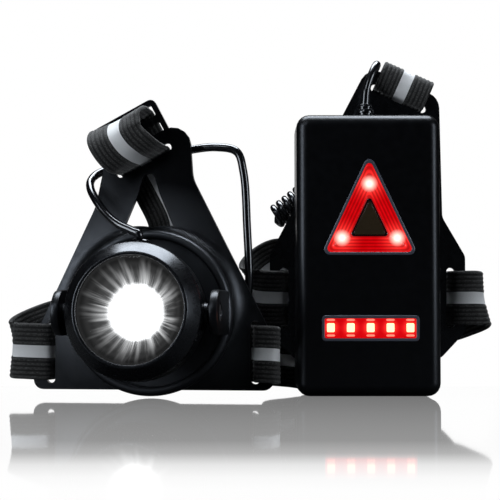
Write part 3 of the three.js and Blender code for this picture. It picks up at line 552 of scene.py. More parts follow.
def carve(piece, cutters, smooth_angle=40.0):
    """Cuts the cutters out of a piece, then removes them."""
    for cutter in cutters:
        cut = piece.modifiers.new("cut", "BOOLEAN")
        cut.operation = "DIFFERENCE"
        cut.solver = "EXACT"
        cut.object = cutter
    carved = bpy.data.meshes.new_from_object(
        piece.evaluated_get(bpy.context.evaluated_depsgraph_get()))
    piece.modifiers.clear()
    piece.data = carved
    carved.shade_smooth()
    carved.set_sharp_from_angle(angle=math.radians(smooth_angle))
    for cutter in cutters:
        bpy.data.objects.remove(cutter)


def angle_smoothing(degrees):
    """A modifier's node group: smooth shading, kept sharp over an angle."""
    group = bpy.data.node_groups.new("angle_smoothing", "GeometryNodeTree")
    group.interface.new_socket("Geometry", in_out="INPUT", socket_type="NodeSocketGeometry")
    group.interface.new_socket("Geometry", in_out="OUTPUT", socket_type="NodeSocketGeometry")
    start = group.nodes.new("NodeGroupInput")
    end = group.nodes.new("NodeGroupOutput")
    faces = group.nodes.new("GeometryNodeSetShadeSmooth")
    edges = group.nodes.new("GeometryNodeSetShadeSmooth")
    edges.domain = "EDGE"
    angle = group.nodes.new("GeometryNodeInputMeshEdgeAngle")
    flat = group.nodes.new("FunctionNodeCompare")
    flat.data_type = "FLOAT"
    flat.operation = "LESS_THAN"
    flat.inputs[1].default_value = math.radians(degrees)
    group.links.new(start.outputs[0], faces.inputs[0])
    group.links.new(faces.outputs[0], edges.inputs[0])
    group.links.new(angle.outputs[0], flat.inputs[0])
    group.links.new(flat.outputs[0], edges.inputs["Shade Smooth"])
    group.links.new(edges.outputs[0], end.inputs[0])
    return group


SMOOTHING = angle_smoothing(38)


def dress(node, material, edge=0.0):
    """Gives a carried-over CAD node its material, softened edges and clean shading."""
    piece = frame["nodes"][node]
    if not piece.material_slots:
        piece.data.materials.append(material)
    for entry in piece.material_slots:
        entry.material = material
    flatten = piece.modifiers.new("merge_flat_faces", "DECIMATE")
    flatten.decimate_type = "DISSOLVE"
    flatten.angle_limit = math.radians(1.0)
    if edge:
        bevel = piece.modifiers.new("soft_edges", "BEVEL")
        bevel.width = edge * MM
        bevel.segments = 3
        bevel.limit_method = "ANGLE"
        bevel.angle_limit = math.radians(32)
        bevel.use_clamp_overlap = False
    smooth = piece.modifiers.new("smooth_shading", "NODES")
    smooth.node_group = SMOOTHING
    normals = piece.modifiers.new("face_weighted_normals", "WEIGHTED_NORMAL")
    normals.keep_sharp = True
    return piece


# ---------------------------------------------------------- carried-over nodes

def dress_all():
    dress("front_strap_plate", FRONT_SATIN, 0.45)
    dress("rear_strap_plate", BLACK_SATIN, 0.45)
    dress("case_rear_cover", CASE_MATTE, 0.5)
    dress("power_button", RUBBER, 0.5)
    dress("charge_port_flap", RUBBER, 0.3)
    for node in ("shoulder_strap_glide", "side_strap_glide_left"):
        dress(node, BLACK_GLOSS, 0.35)
    for node in ("case_gasket", "lens_seal", "friction_washer_left", "friction_washer_right"):
        dress(node, RUBBER)
    for node in ("light_board", "charge_board", "led_board"):
        dress(node, BOARD)
    for node in ("pivot_screw_left", "pivot_screw_right", "charge_socket", "cell_tab_top",
                 "cell_tab_bottom"):
        dress(node, STEEL)
    for kind, count in (("cradle_screw", 3), ("case_screw", 4), ("plate_screw", 3)):
        for i in range(count):
            dress(f"{kind}_{i + 1}", STEEL, 0.12)
    dress("heat_sink", ALUMINIUM)
    dress("button_switch", BLACK_GLOSS)
    dress("battery_cell", CELL)
    for i in range(3):
        dress(f"triangle_led_{i + 1}", RED_CHIP)
    for i in range(5):
        dress(f"bar_led_{i + 1}", RED_CHIP)
    dress("led_emitter", WHITE_CHIP)


dress_all()

# ------------------------------------------------------------------ lamp head

LENS_R = 18.6
GROMMET_U = -1.5                  # where the cable enters the shell: right, back, height
GROMMET_A = 8.0
GROMMET_TOP = 26.1
BOOT_FLATNESS = 0.68
# The boot's steps: half width, height above the pivots.
BOOT_STEPS = ((4.2, 20.0), (4.2, 22.4), (4.0, 22.9), (3.7, 23.1), (3.7, 25.0), (3.3, 25.7),
              (2.4, GROMMET_TOP), (1.5, GROMMET_TOP))
HEAD_R = 23.2
SHELL_R = 21.5
SHELL_WALL = 1.8
BOSS_R = 3.3
BOSS_END = 24.3                   # how far the bosses reach from the middle line
PIVOT_BORE = 1.62
BEZEL_FRONT = -13.4
OPTIC_R = 18.3                    # radius the glow pattern is drawn to
CUP_THROAT_R = 4.2
CUP_MOUTH_R = 16.7
CUP_DEPTH = 10.3


def make_lamp_head():
    profile = ((HEAD_R, -3.6, 0), (HEAD_R, BEZEL_FRONT + 4.9, 1.8),
               (LENS_R + 0.6, BEZEL_FRONT, 0.7), (LENS_R - 0.4, BEZEL_FRONT + 0.1, 0.25),
               (LENS_R - 0.5, -12.5, 0), (LENS_R + 0.25, -12.5, 0), (LENS_R + 0.25, -9.4, 0),
               (HEAD_R - 1.9, -7, 0), (HEAD_R - 1.9, -3.6, 0))
    turned("lamp_bezel", profile, HEAD, BLACK_SATIN, "lamp_head", ("head_bezel",))
    turned("lamp_front_lens", (
        (0, -13.1, 0), (7, -13.0, 0), (LENS_R - 2, -12.6, 0), (LENS_R - 0.7, -12.35, 0.2),
        (LENS_R, -12.2, 0.2), (LENS_R, -10.9, 0), (0, -10.9, 0),
    ), HEAD, clear_plastic(), "lamp_head", ("front_lens",))
    make_reflector()
    make_shell()
    make_grommet()


def make_shell():
    """The domed back of the lamp head, with a boss for each pivot screw."""
    outside = [(SHELL_R * math.sin(a), SHELL_R * math.cos(a), 0)
               for a in (math.radians(80) * k / 20 for k in range(21))]
    inner_r = SHELL_R - SHELL_WALL
    inside = [(inner_r * math.sin(a), inner_r * math.cos(a), 0)
              for a in (math.radians(88) * k / 20 for k in reversed(range(21)))]
    profile = outside + [(HEAD_R, 1.6, 0.8), (HEAD_R, -3.4, 0.2), (inner_r, -3.4, 0)] + inside
    shell = turned("lamp_shell", profile, HEAD, BLACK_MATTE, "lamp_head", ("head_shell",))
    bore = circle(PIVOT_BORE, 32)
    across = HEAD @ Matrix.Rotation(math.radians(90), 4, "Z")
    carve(shell, [plug("pivot_cutter", [bore, bore], [way * 18, way * 26][::way], across,
                       BLACK_MATTE, None) for way in (1, -1)])
    for name, way in (("left", 1), ("right", -1)):
        near, far = way * inner_r, way * BOSS_END
        turned("pivot_boss_" + name, (
            (PIVOT_BORE, near, 0), (BOSS_R, near, 0), (BOSS_R, far, 0.4), (PIVOT_BORE, far, 0),
        ), across, BLACK_MATTE, "lamp_head", segments=48)


def make_grommet():
    """The glossy oval boot where the cable enters the shell."""
    ovals = [[Vector((p.x, BOOT_FLATNESS * p.y)) for p in circle(radius, 40)]
             for radius, _ in BOOT_STEPS]
    upright = Matrix(((1, 0, 0, 0), (0, 0, 1, 0), (0, 1, 0, 0), (0, 0, 0, 1)))
    place = HEAD @ Matrix.Translation(Vector((GROMMET_U, GROMMET_A, 0)) * MM) @ upright
    plug("cable_boot", ovals, [height for _, height in BOOT_STEPS], place, BLACK_GLOSS,
         "lamp_head", ("cable_grommet",))


def make_reflector():
    """The bright cup, with its glow drawn square-on from the front."""
    inner = []
    for i in range(13):
        depth = i / 12
        inner.append((CUP_THROAT_R + (CUP_MOUTH_R - CUP_THROAT_R) * math.sqrt(depth),
                      -CUP_DEPTH * depth - 0.5))
    profile = [(1.4, -0.5)] + inner + [(OPTIC_R, -10.85), (OPTIC_R, -10.5), (17.3, -10.3)]
    profile += [(r + 0.8, y + 0.2) for r, y in reversed(inner[1:-1])] + [(1.4, -0.35)]
    segments = 128
    rings = []
    for s in range(segments):
        a = 2 * math.pi * s / segments
        rings.append([Vector((r * math.cos(a), y, r * math.sin(a))) for r, y in profile])
    bm = rings_to_bmesh(rings, loop=True, uvs=lambda i, k: (
        rings[i][k].x / OPTIC_R, rings[i][k].z / OPTIC_R))
    for vert in bm.verts:
        vert.co = HEAD @ (vert.co * MM)
    finish_object("glowing_reflector", bm, lamp_glow(), "lamp_head", ("reflector",))


make_lamp_head()

# ------------------------------------------------------- cradle and plate form

PLATE_V = 6.0
RING_R = 29.4
RING_IN = 26.0
EAR_IN = 25.3
EAR_T = 3.0
EAR_H = 7.75
SCREW_RECESS_R = 3.2


def make_cradle():
    back = PLATE_V - 0.1
    turned("cradle_ring", (
        (20.5, back, 0), (RING_R, back, 0), (RING_R, 0.0, 1.9), (RING_IN, 0.15, 1.45),
        (RING_IN, back - 2, 0), (20.5, back - 2, 0),
    ), FRONT, RING_SATIN, "base", ("lamp_cradle",), segments=128, steps=8)
    for name, side in (("left", -1), ("right", 1)):
        make_ear(name, side)


def ear_outline(inset):
    """An ear seen from the side: x towards the front from the rim, y up."""
    reach = -PIVOT_V / MM
    half = EAR_H - inset
    points = [Vector((-2.4, -half)), Vector((reach * 0.5, -half))]
    for k in range(25):
        a = math.radians(-90 + 180 * k / 24)
        points.append(Vector((reach + half * math.cos(a), half * math.sin(a))))
    points += [Vector((reach * 0.5, half)), Vector((-2.4, half))]
    return points


def round_about_pivot(points, radius):
    middle_point = Vector((-PIVOT_V / MM, 0))
    return [middle_point + (p - middle_point).normalized() * radius for p in points]


def make_ear(name, side):
    turn = Matrix(((0, side, 0, 0), (-1, 0, 0, 0), (0, 0, 1, 0), (0, 0, 0, 1)))
    rim = ear_outline(1.0)
    shape = [(ear_outline(0.7), EAR_IN), (ear_outline(0.15), EAR_IN + 0.25),
             (ear_outline(0), EAR_IN + 0.7), (ear_outline(0), EAR_IN + EAR_T - 0.9),
             (ear_outline(0.3), EAR_IN + EAR_T - 0.3), (rim, EAR_IN + EAR_T),
             (round_about_pivot(rim, SCREW_RECESS_R + 0.3), EAR_IN + EAR_T),
             (round_about_pivot(rim, SCREW_RECESS_R), EAR_IN + EAR_T - 0.3),
             (round_about_pivot(rim, SCREW_RECESS_R), EAR_IN + EAR_T - 1.25)]
    plug("cradle_ear_" + name, [outline for outline, _ in shape], [y for _, y in shape],
         FRONT @ turn, BLACK_MATTE, "base")


SKIRT_REACH = 5.6                 # how far the fillet spreads over the plate at the sides
SKIRT_LEAST = 1.2                 # and at the top
SKIRT_RISE = 3.6
SKIRT_FROM = -24                  # degrees round the ring, from the right
SKIRT_TO = 204


def make_skirt():
    """The fillet that runs from the ring down on to the plate, round its upper side."""
    rings = []
    steps = 96
    for i in range(steps + 1):
        share = i / steps
        a = math.radians(SKIRT_FROM + (SKIRT_TO - SKIRT_FROM) * share)
        fade = min(1.0, share * 7, (1 - share) * 7)
        fade = 0.06 + 0.94 * fade * fade * (3 - 2 * fade)
        reach = SKIRT_LEAST + (SKIRT_REACH - SKIRT_LEAST) * fade * abs(math.cos(a)) ** 0.8
        section = [(RING_R - 0.8, PLATE_V + 0.3)]
        for k in range(9):
            t = math.pi / 2 * k / 8
            section.append((RING_R - 0.2 + reach * (1 - math.cos(t)),
                            PLATE_V - SKIRT_RISE * fade * (1 - math.sin(t))))
        section.append((section[-1][0], PLATE_V + 0.3))
        rings.append([FRONT @ (Vector((r * math.cos(a), v, r * math.sin(a))) * MM)
                      for r, v in section])
    finish_object("ring_fillet", rings_to_bmesh(rings), FRONT_SATIN, "base")


make_cradle()
make_skirt()

# -------------------------------------------------------------- warning lights

case_low, case_high = box_mm("case_front_cover")
bar_low, bar_high = box_mm("light_bar_lens")
button_low, button_high = box_mm("power_button")
flap_low, flap_high = box_mm("charge_port_flap")

CASE_W = case_high[0] - case_low[0]
CASE_H = case_high[2] - case_low[2]
CASE_FRONT = case_low[1]
CASE_SEAM_Y = case_high[1]
CASE_WALL = 1.8
CASE_EDGE_R = 4.0
LENS_Y = bar_low[1]
LENS_T = bar_high[1] - LENS_Y
TRIANGLE_MID = Vector((0.2, 60.85))
TRIANGLE_INRADIUS = 10.05
TRIANGLE_CORNERS = ((-15.6, 50.8), (16.0, 50.8), (0.2, 84.4))
TRIANGLE_HOLE = 6.0              # distance from the lens's outer edge to its centre hole
TRIANGLE_LAMPS = ((0.2, 75.1), (-9.5, 55.9), (10.0, 55.9))
# The light bar's x, z, width and height.
BAR = ((bar_low[0] + bar_high[0]) / 2, (bar_low[2] + bar_high[2]) / 2,
       bar_high[0] - bar_low[0], bar_high[2] - bar_low[2])
BAR_LAMPS = 5
BAR_PITCH = 7.0
BAR_LAMP_Z = 24.25
FLAT = Matrix.Identity(4)


def triangle(inward, radius=1.0):
    """The warning triangle's outline, moved in from its edge by a distance."""
    scale = 1 - inward / TRIANGLE_INRADIUS
    corners = [TRIANGLE_MID + (Vector(c) - TRIANGLE_MID) * scale for c in TRIANGLE_CORNERS]
    return rounded([(c.x, c.y, radius) for c in corners], 5)


def rectangle(x, z, width, height, radius):
    return rounded([(x + a * width / 2, z + b * height / 2, radius)
                    for a, b in ((-1, -1), (1, -1), (1, 1), (-1, 1))], 5)


def bar(grow, radius):
    x, z, width, height = BAR
    return rectangle(x, z, width + 2 * grow, height + 2 * grow, radius)


SIDE_Y = (button_low[1] + button_high[1]) / 2
BUTTON_Z = (button_low[2] + button_high[2]) / 2
PORT_Z = (flap_low[2] + flap_high[2]) / 2
# Openings in the right side: height of the middle, width, length, depth.
BUTTON_OPENING = (BUTTON_Z, 5.4, 12.4, 3)
PORT_OPENING = (PORT_Z, 3.8, 8.8, 3)
FLAP_SEAT = (PORT_Z, 8.2, 16.4, 0.9)


def case_outline(inset):
    return rectangle(0, CASE_H / 2, CASE_W - 2 * inset, CASE_H - 2 * inset,
                     max(0.7, 4.6 - inset))


def side_block(z, width, height, deep):
    """A cutter for an opening in the case's right side."""
    shape = rectangle(SIDE_Y, z, width, height, 0.8)
    turn = Matrix(((0, 1, 0, 0), (1, 0, 0, 0), (0, 0, 1, 0), (0, 0, 0, 1)))
    return plug("side_cutter", [shape, shape], [CASE_W / 2 - deep, CASE_W / 2 + 3], turn,
                BLACK_MATTE, None)


def make_case():
    """The front cover: a rounded shell, open behind the lenses, the button and the port."""
    inner_front = CASE_FRONT + CASE_WALL
    rings = [(CASE_WALL + 2.2, inner_front), (CASE_WALL + 0.7, inner_front + 0.7),
             (CASE_WALL, inner_front + 2.2), (CASE_WALL, CASE_SEAM_Y), (0.25, CASE_SEAM_Y),
             (0.0, CASE_SEAM_Y - 0.25)]
    steps = 14
    for k in range(steps + 1):
        a = math.pi / 2 * k / steps
        rings.append((CASE_EDGE_R * (1 - math.cos(a)),
                      CASE_FRONT + CASE_EDGE_R * (1 - math.sin(a))))
    shell = plug("case_front_shell", [case_outline(inset) for inset, _ in rings],
                 [y for _, y in rings], FLAT, CASE_MATTE, "base", ("case_front_cover",))
    through = (CASE_FRONT - 1, inner_front + 1)
    carve(shell, (
        plug("triangle_cutter", [triangle(-0.1, 1.3)] * 2, through, FLAT, RIM, None),
        plug("bar_cutter", [bar(0.1, 1.3)] * 2, through, FLAT, RIM, None),
        side_block(*BUTTON_OPENING),
        side_block(*PORT_OPENING),
        side_block(*FLAP_SEAT),
    ))


def layers(outline, shape):
    """Outlines and heights for a shape of (distance from the outline, depth, corner radius)."""
    return ([outline(distance, radius) for distance, _, radius in shape],
            [LENS_Y + deep for _, deep, _ in shape])


def make_triangle():
    lamps = [Vector((x, 0, z)) * MM for x, z in TRIANGLE_LAMPS]
    red = red_lens("triangle_red", lamps, 8.5 * MM, lined=True)
    shape = [(0.1, LENS_T, 1.3), (0.1, 0.25, 1.3), (0.35, 0.0, 1.3), (1.0, 0.0, 1.2)]
    ridges = 8
    first, last = 1.2, TRIANGLE_HOLE - 0.9
    for k in range(ridges * 2 + 1):
        inward = first + (last - first) * k / (ridges * 2)
        shape.append((inward, 0.3 if k % 2 == 0 else 0.05, 1.1 - 0.3 * k / (ridges * 2)))
    shape += [(TRIANGLE_HOLE - 0.2, 0.0, 0.8), (TRIANGLE_HOLE, 0.2, 0.75),
              (TRIANGLE_HOLE, LENS_T, 0.75)]
    frame_ring("warning_lens", *layers(triangle, shape), red, "base", ("warning_triangle_lens",),
               across=[inward for inward, _, _ in shape])
    rim = ((0.1, 0.5, 1.3), (0.1, -0.3, 1.3), (-0.15, -0.55, 1.5), (-0.65, -0.55, 1.8),
           (-0.9, -0.35, 2.0), (-0.9, -0.2, 2.0))
    frame_ring("triangle_rim", *layers(triangle, rim), RIM, "base")
    window = ((6.25, LENS_T, 0.8), (6.25, 0.0, 0.8), (6.4, -0.15, 0.75), (7.0, -0.15, 0.6))
    plug("centre_window", *layers(triangle, window), FLAT, smoked(), "base",
         ("triangle_centre_window",))
    edge = ((6.2, 0.6, 0.8), (6.2, -0.2, 0.8), (6.05, -0.28, 0.85), (5.75, -0.28, 0.95),
            (5.6, -0.1, 1.0), (5.6, 0.0, 1.0))
    frame_ring("window_edge", *layers(triangle, edge), BLACK_GLOSS, "base")


def spot(name, x, z, width, height, material):
    sizes = ((1.0, 0.4), (1.0, -0.02), (0.82, -0.1))
    plug(name, [rectangle(x, z, width * s, height * s, 0.45 * s) for s, _ in sizes],
         [LENS_Y + deep for _, deep in sizes], FLAT, material, "base")


def make_bar():
    places = [BAR[0] + (i - (BAR_LAMPS - 1) / 2) * BAR_PITCH for i in range(BAR_LAMPS)]
    lamps = [Vector((p, 0, BAR_LAMP_Z)) * MM for p in places]
    shape = ((-0.05, LENS_T, 1.2), (-0.05, 0.2, 1.2), (-0.25, 0.0, 1.1), (-0.75, 0.0, 0.9),
             (-0.95, 0.25, 0.8))
    plug("bar_lens", *layers(bar, shape), FLAT,
         red_lens("bar_red", lamps, 4.2 * MM), "base", ("light_bar_lens",))
    rim = ((-0.95, 0.4, 0.6), (-0.95, -0.3, 0.6), (-0.75, -0.45, 0.8), (-0.1, -0.45, 1.3),
           (0.15, -0.2, 1.5))
    frame_ring("bar_rim", *layers(bar, rim), RIM, "base")
    for i, p in enumerate(places):
        spot("bar_window_" + str(i + 1), p, BAR_LAMP_Z, 2.7, 3.1, PALE_CHIP)
        for name, way in (("upper", 1), ("lower", -1)):
            spot(f"bar_dash_{name}_{i + 1}", p, BAR_LAMP_Z + way * 2.75, 2.9, 0.7, DASH)




collar_low, collar_high = box_mm("cable_strain_relief")
COLLAR_AT = Vector(((collar_low[0] + collar_high[0]) / 2, (collar_low[1] + collar_high[1]) / 2,
                    CASE_H))
# The collar's steps: radius, height above the case.
COLLAR_STEPS = ((3.5, -0.1), (3.5, 1.9), (3.3, 2.2), (2.7, 2.3), (2.7, 2.8), (3.3, 2.9), (3.3, 4.0),
                (3.1, 4.3), (2.4, 4.4), (2.4, 4.9), (2.7, 5.0), (2.7, 5.8), (2.4, 6.2), (1.2, 6.2))


def make_strain_relief():
    """The stepped collar where the cable enters the top of the case."""
    rings = [[(COLLAR_AT + Vector((p.x, p.y, z))) * MM for p in circle(radius, 40)]
             for radius, z in COLLAR_STEPS]
    finish_object("case_cable_collar", rings_to_bmesh(rings), CABLE, "base",
                  ("cable_strain_relief",))


make_strain_relief()
make_case()
make_triangle()
make_bar()


# --------------------------------------------------------------------- straps
# Each strap runs through its slots along the same stations as its CAD solid.

SHOULDER_LEAN = 62.0
REAR_LEAN = 114.0


def shoulder(u, v, z, lean=SHOULDER_LEAN):
    return from_front(u, v, z, lean)


def rear(x, y, z):
    return (x, y, z, REAR_LEAN)


def make_straps():
    strap("left_side_webbing", (
        from_front(-26, 11.4, 15.5), from_front(-32.5, 11.2, 15.5), from_front(-36.2, 9.6, 15.5),
        from_front(-36.9, 7.2, 15.5), from_front(-37.6, 4.9, 15.5), from_front(-40.5, 3.9, 15.6),
        from_front(-46, 3.8, 15.8), from_front(-50.3, 5.4, 16, 3), from_front(-51.2, 9, 17, 4),
        from_front(-47.5, 13.4, 20, 0), from_front(-38, 15.6, 24, -6), from_front(-24, 16.6, 27),
        from_front(-8, 20.4, 28), (-71.5, 26.6, 29), (-60, 31.6, 30), (-46, 33.4, 29.4),
        (-28, 33.4, 29), (-10, 33.4, 29), (10, 33.4, 29), (22, 31, 28.6), (31, 24, 28),
        (38.5, 19.5, 30.5, -3), (43.5, 15.5, 33, -8), (44.4, 11.6, 34.6, -9), (41.5, 9.3, 35, -6),
        (37, 9.4, 35), (33.9, 11, 35), (32.6, 14, 35), (31.6, 16.9, 35), (28.6, 18.1, 35),
        (23.5, 18.3, 35),
    ), "side_strap_left")
    strap("right_side_webbing", (
        from_front(26, 11.4, 15), from_front(32.3, 11.2, 15), from_front(36, 9.6, 15),
        from_front(36.7, 7.2, 15), from_front(37.4, 4.9, 15), from_front(40.2, 3.9, 15),
        from_front(43.6, 4.1, 14.8), (-32, -10.5, 14.4), (-32.9, -3, 13.8), (-36.4, 6, 13),
        (-36.6, 12.6, 12.6), (-33.6, 17.2, 12.2), (-27, 18.4, 11.6), (-20, 18.3, 10.8),
        (-6, 18.6, 11), (6, 18.8, 11.6), (12.4, 19.8, 12.6, 3), (15, 22.4, 13.8, 6),
        (12.4, 25, 15, 4), (4, 25.8, 17.6), (-6, 25.2, 24), (-15, 23.2, 34), (-23, 20.4, 44),
        (-30.5, 19, 47.6, -20), (-37.4, 18.4, 43.5, -12), (-40.8, 15.4, 38.5, -4),
        (-40.6, 11.6, 36, -2), (-37.6, 9.3, 35.2), (-33.4, 9.4, 35), (-30.5, 11, 35),
        (-29.3, 14, 35), (-28.3, 16.3, 35), (-26.6, 17.4, 35),
    ), "side_strap_right")
    strap("shoulder_webbing", (
        shoulder(-5.6, 12.9, 89.3), shoulder(-7.4, 12.9, 92.7), shoulder(-9, 12.7, 95.8),
        shoulder(-9.9, 11.7, 97.5), shoulder(-10.05, 9.7, 97.75), shoulder(-10.1, 7.6, 97.8),
        shoulder(-11, 3, 98), shoulder(-12.2, -2.5, 95.8), shoulder(-11.4, -6, 91.6),
        shoulder(-8.8, -5.6, 87.6), shoulder(-5.6, -2, 84.9), shoulder(-3.8, 3.5, 84.1),
        shoulder(-3.4, 7.2, 84.1), shoulder(-3.1, 9.6, 83.5), shoulder(-1.6, 11.6, 80.6),
        shoulder(2, 12.6, 74), shoulder(6.4, 14.6, 64), (-68, 9.5, 49, 68), (-61.5, 15.5, 34, 74),
        (-55, 24, 18, 80), (-49, 32, 12, 86), (-42, 40, 12.4, 94), (-33, 43.6, 22, 104),
        (-22, 40.6, 42, 110), (-8, 32.6, 68, 112), rear(2.4, 26, 87), rear(9, 20.6, 99.4),
        rear(11.6, 18.3, 105.1), rear(13, 17.3, 108.3), rear(13.5, 16.1, 109.5),
        rear(13.6, 14, 109.7), rear(13.7, 11.8, 109.9), rear(14.4, 10.6, 111.5),
        rear(16, 10.4, 115.1), rear(17.4, 11.6, 118.2), rear(17.8, 14.2, 119.2),
        rear(17.5, 17, 118.5), rear(15.8, 19.4, 114.6), rear(13.4, 20.8, 109.3),
        rear(10.6, 22.6, 103),
    ), "shoulder_strap")


make_straps()

# ---------------------------------------------------------------------- cable

CABLE_R = 1.5
COIL_WIRE_R = 1.18
LAMP_Z = 29.5
COIL_START = Vector((-32.6, 21.4, 65.4))
COIL_AXIS = Vector((0.78, 0.0, 0.626)).normalized()
COIL_TURNS = 12
COIL_PITCH = 2.7
COIL_R = 3.5
COIL_STEPS = 20                   # points a turn
FRONT_LEAD_SPANS = 9              # spans of the cable kept as a separate lead at the lamp head


def coil_points():
    back = Vector((0, 1, 0))
    up = -COIL_AXIS.cross(back)
    points = []
    for i in range(COIL_TURNS * COIL_STEPS + 1):
        turn = i / COIL_STEPS
        a = 2 * math.pi * turn
        points.append(COIL_START + COIL_AXIS * COIL_PITCH * turn
                      + back * COIL_R * math.cos(a) + up * COIL_R * math.sin(a))
    return points


def make_cable():
    front_stations = (
        from_front(GROMMET_U, -11.2, LAMP_Z + 27), from_front(-4.2, -10.3, 57.9),
        from_front(-9.3, -8.4, 60.2), from_front(-14.6, -5.2, 64.3), from_front(-18.9, -2, 69.4),
        from_front(-21.6, 1.4, 73.4), from_front(-22.6, 5.2, 76.6), from_front(-21.4, 10.2, 79.8),
        from_front(-15, 15.4, 83), from_front(-2, 15.9, 86.2),
        from_front(10.4, 14.4, 88.4), from_front(22, 12, 89.2), from_front(29.5, 11.6, 87.4),
        from_front(32, 11.2, 80), from_front(33.4, 10.6, 60), (-42.4, -5.6, 40),
        (-43.4, -2.5, 30.6), (-44.6, 8, 29.4), (-44.2, 19.5, 31), (-38, 24.4, 35), (-29, 24.4, 44),
        (-22.5, 24.4, 56), (-24.4, 25.1, 64),)
    rear_stations = (
        (-6.4, 20.4, 93), (-4.6, 18.2, 101), (-1.6, 17.1, 108.6), (2, 17.3, 115.4),
        (4.4, 17.3, 119.8), (5.6, 14, 122), (5.2, 10.8, 121.9), (3.4, 8.2, 118.4),
        (1.2, 6.9, 112.5), (0.5, 6.6, 105.9),)
    per_span = 8
    inside = HEAD @ (Vector((GROMMET_U, GROMMET_A, GROMMET_TOP - 1.5)) * MM)
    front_stations = (tuple(inside / MM),) + front_stations
    lead = [p for p, _ in spline(front_stations, per_span)]
    split = FRONT_LEAD_SPANS * per_span
    coil = coil_points()
    bridge = [p for p, _ in spline((tuple(coil[-1]),) + rear_stations, per_span)]
    points = lead[split:] + coil + bridge[1:]
    first = len(lead) - split
    radii = []
    for i in range(len(points)):
        away = max(first - 3 - i, i - first - len(coil))
        radii.append(max(COIL_WIRE_R, min(CABLE_R, COIL_WIRE_R + 0.05 * away)))
    body = cord("coiled_cable_run", points, radii, CABLE, None, 12)
    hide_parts("coiled_cable")
    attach(body, "base")
    front = cord("lamp_cable_lead", lead[:split + 2], [CABLE_R] * (split + 2), CABLE, None)
    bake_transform(front)


make_cable()

# ---------------------------------------------------------- stage and camera

CAMERA_AT = Vector((-42.0, -462.5, 29.9)) * MM
CAMERA_PITCH = math.radians(2.76)
LENS_MM = 92.0
MIDDLE = Vector((-0.042, 0.0, 0.055))
WORLD_DIM = 0.006


# How much of the picture the floor mirrors, from near the camera to behind the object.
FLOOR_NEAR = -0.26
FLOOR_FAR = 0.07
FLOOR_SHARES = ((-0.243, 0.01), (-0.227, 0.05), (-0.208, 0.2), (-0.187, 0.55), (-0.16, 0.7),
                (-0.05, 0.79), (0.05, 0.86), (0.065, 0.0))


def mixed(tree, factor, first, second):
    mix = tree.nodes.new("ShaderNodeMixShader")
    for socket, source in zip(mix.inputs, (factor, first, second)):
        tree.links.new(source, socket)
    return mix.outputs[0]


def paint_floor():
    """White and softly mirrored to the camera; dark to the object's own reflections."""
    n = Nodes("pale_floor")
    y = n.axes(n.place())[1]
    fade = n.node("ShaderNodeValToRGB")
    n.put(fade.inputs["Fac"], n.ramp(y, 0.0, 1.0, FLOOR_NEAR, FLOOR_FAR))
    stops = fade.color_ramp.elements
    while len(stops) < len(FLOOR_SHARES):
        stops.new(0.5)
    for stop, (at, share) in zip(stops, FLOOR_SHARES):
        stop.position = (at - FLOOR_NEAR) / (FLOOR_FAR - FLOOR_NEAR)
        stop.color = grey(share)
    white = n.node("ShaderNodeEmission")
    mirror = n.node("ShaderNodeBsdfAnisotropic")
    mirror.inputs["Roughness"].default_value = 0.04
    n.put(mirror.inputs["Color"], n.mix(n.noise(n.place(), 4.0), grey(0.97), grey(1.0)))
    path = n.node("ShaderNodeLightPath")
    n.set(Base_Color=grey(0.02), Roughness=0.8)
    contact = n.node("ShaderNodeAmbientOcclusion", samples=8)
    contact.inputs["Distance"].default_value = 0.03
    towards = n.axes(n.node("ShaderNodeNewGeometry").outputs["Incoming"])
    in_front = n.ramp(towards[1], 1.0, 0.0, -0.97, -0.9)
    shadow = n.ramp(contact.outputs["AO"], 0.45, 1.0, 0.1, 0.95)
    n.put(white.inputs["Color"], n.mix(in_front, shadow, grey(1.0)))
    share = n.math("MULTIPLY", fade.outputs["Color"], in_front)
    seen = mixed(n.tree, share, white.outputs[0], mirror.outputs[0])
    both = mixed(n.tree, path.outputs["Is Camera Ray"], n.shader.outputs[0], seen)
    n.tree.links.new(both, n.tree.nodes["Material Output"].inputs["Surface"])
    return n.material


def make_stage():
    bpy.ops.mesh.primitive_plane_add(size=6.0, location=(0, 0, -0.0004))
    floor = bpy.context.object
    floor.name = "studio_floor"
    floor.data.materials.append(paint_floor())


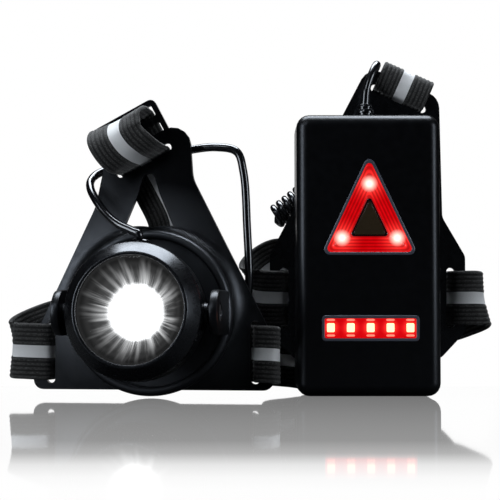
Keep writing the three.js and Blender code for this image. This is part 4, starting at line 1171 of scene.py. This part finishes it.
def paint_world():
    """White to the camera and behind the object; dim elsewhere, so that black stays black."""
    world = bpy.data.worlds.new("studio")
    scene.world = world
    world.use_nodes = True
    tree = world.node_tree
    tree.nodes.clear()
    out = tree.nodes.new("ShaderNodeOutputWorld")
    seen = tree.nodes.new("ShaderNodeBackground")
    cast = tree.nodes.new("ShaderNodeBackground")
    path = tree.nodes.new("ShaderNodeLightPath")
    place = tree.nodes.new("ShaderNodeTexCoord")
    split = tree.nodes.new("ShaderNodeSeparateXYZ")
    behind = tree.nodes.new("ShaderNodeMapRange")
    tree.links.new(place.outputs["Generated"], split.inputs[0])
    tree.links.new(split.outputs["Y"], behind.inputs["Value"])
    for key, value in (("From Min", 0.9), ("From Max", 0.98),
                       ("To Min", WORLD_DIM), ("To Max", 1.0)):
        behind.inputs[key].default_value = value
    seen.inputs["Color"].default_value = grey(1.0)
    cast.inputs["Color"].default_value = grey(1.0)
    tree.links.new(behind.outputs["Result"], cast.inputs["Strength"])
    both = mixed(tree, path.outputs["Is Camera Ray"], cast.outputs[0], seen.outputs[0])
    tree.links.new(both, out.inputs[0])


def softbox(name, at, aim, width, height, watts):
    data = bpy.data.lights.new(name, "AREA")
    data.shape = "RECTANGLE"
    data.size = width
    data.size_y = height
    data.energy = watts
    data.color = (0.9, 0.95, 1.0)
    lamp = bpy.data.objects.new(name, data)
    scene.collection.objects.link(lamp)
    lamp.location = at
    lamp.rotation_euler = (Vector(aim) - Vector(at)).to_track_quat("-Z", "Y").to_euler()


def make_lights():
    softbox("left_box", (-0.8, -0.5, 0.25), MIDDLE, 0.4, 0.5, 3.6)
    softbox("right_box", (0.8, -0.45, 0.22), MIDDLE, 0.35, 0.5, 2.8)
    softbox("top_box", (-0.04, 0.16, 0.8), MIDDLE, 0.7, 0.45, 12.0)
    softbox("front_box", (-0.5, -0.9, 0.75), MIDDLE, 0.35, 0.3, 1.3)


def make_camera():
    data = bpy.data.cameras.new("photo_camera")
    data.lens = LENS_MM
    data.sensor_width = 36.0
    data.clip_start = 0.01
    camera = bpy.data.objects.new("photo_camera", data)
    scene.collection.objects.link(camera)
    camera.location = CAMERA_AT
    camera.rotation_euler = (math.radians(90) + CAMERA_PITCH, 0, 0)
    scene.camera = camera


make_stage()
paint_world()
make_lights()
make_camera()
scene.view_settings.view_transform = "Standard"
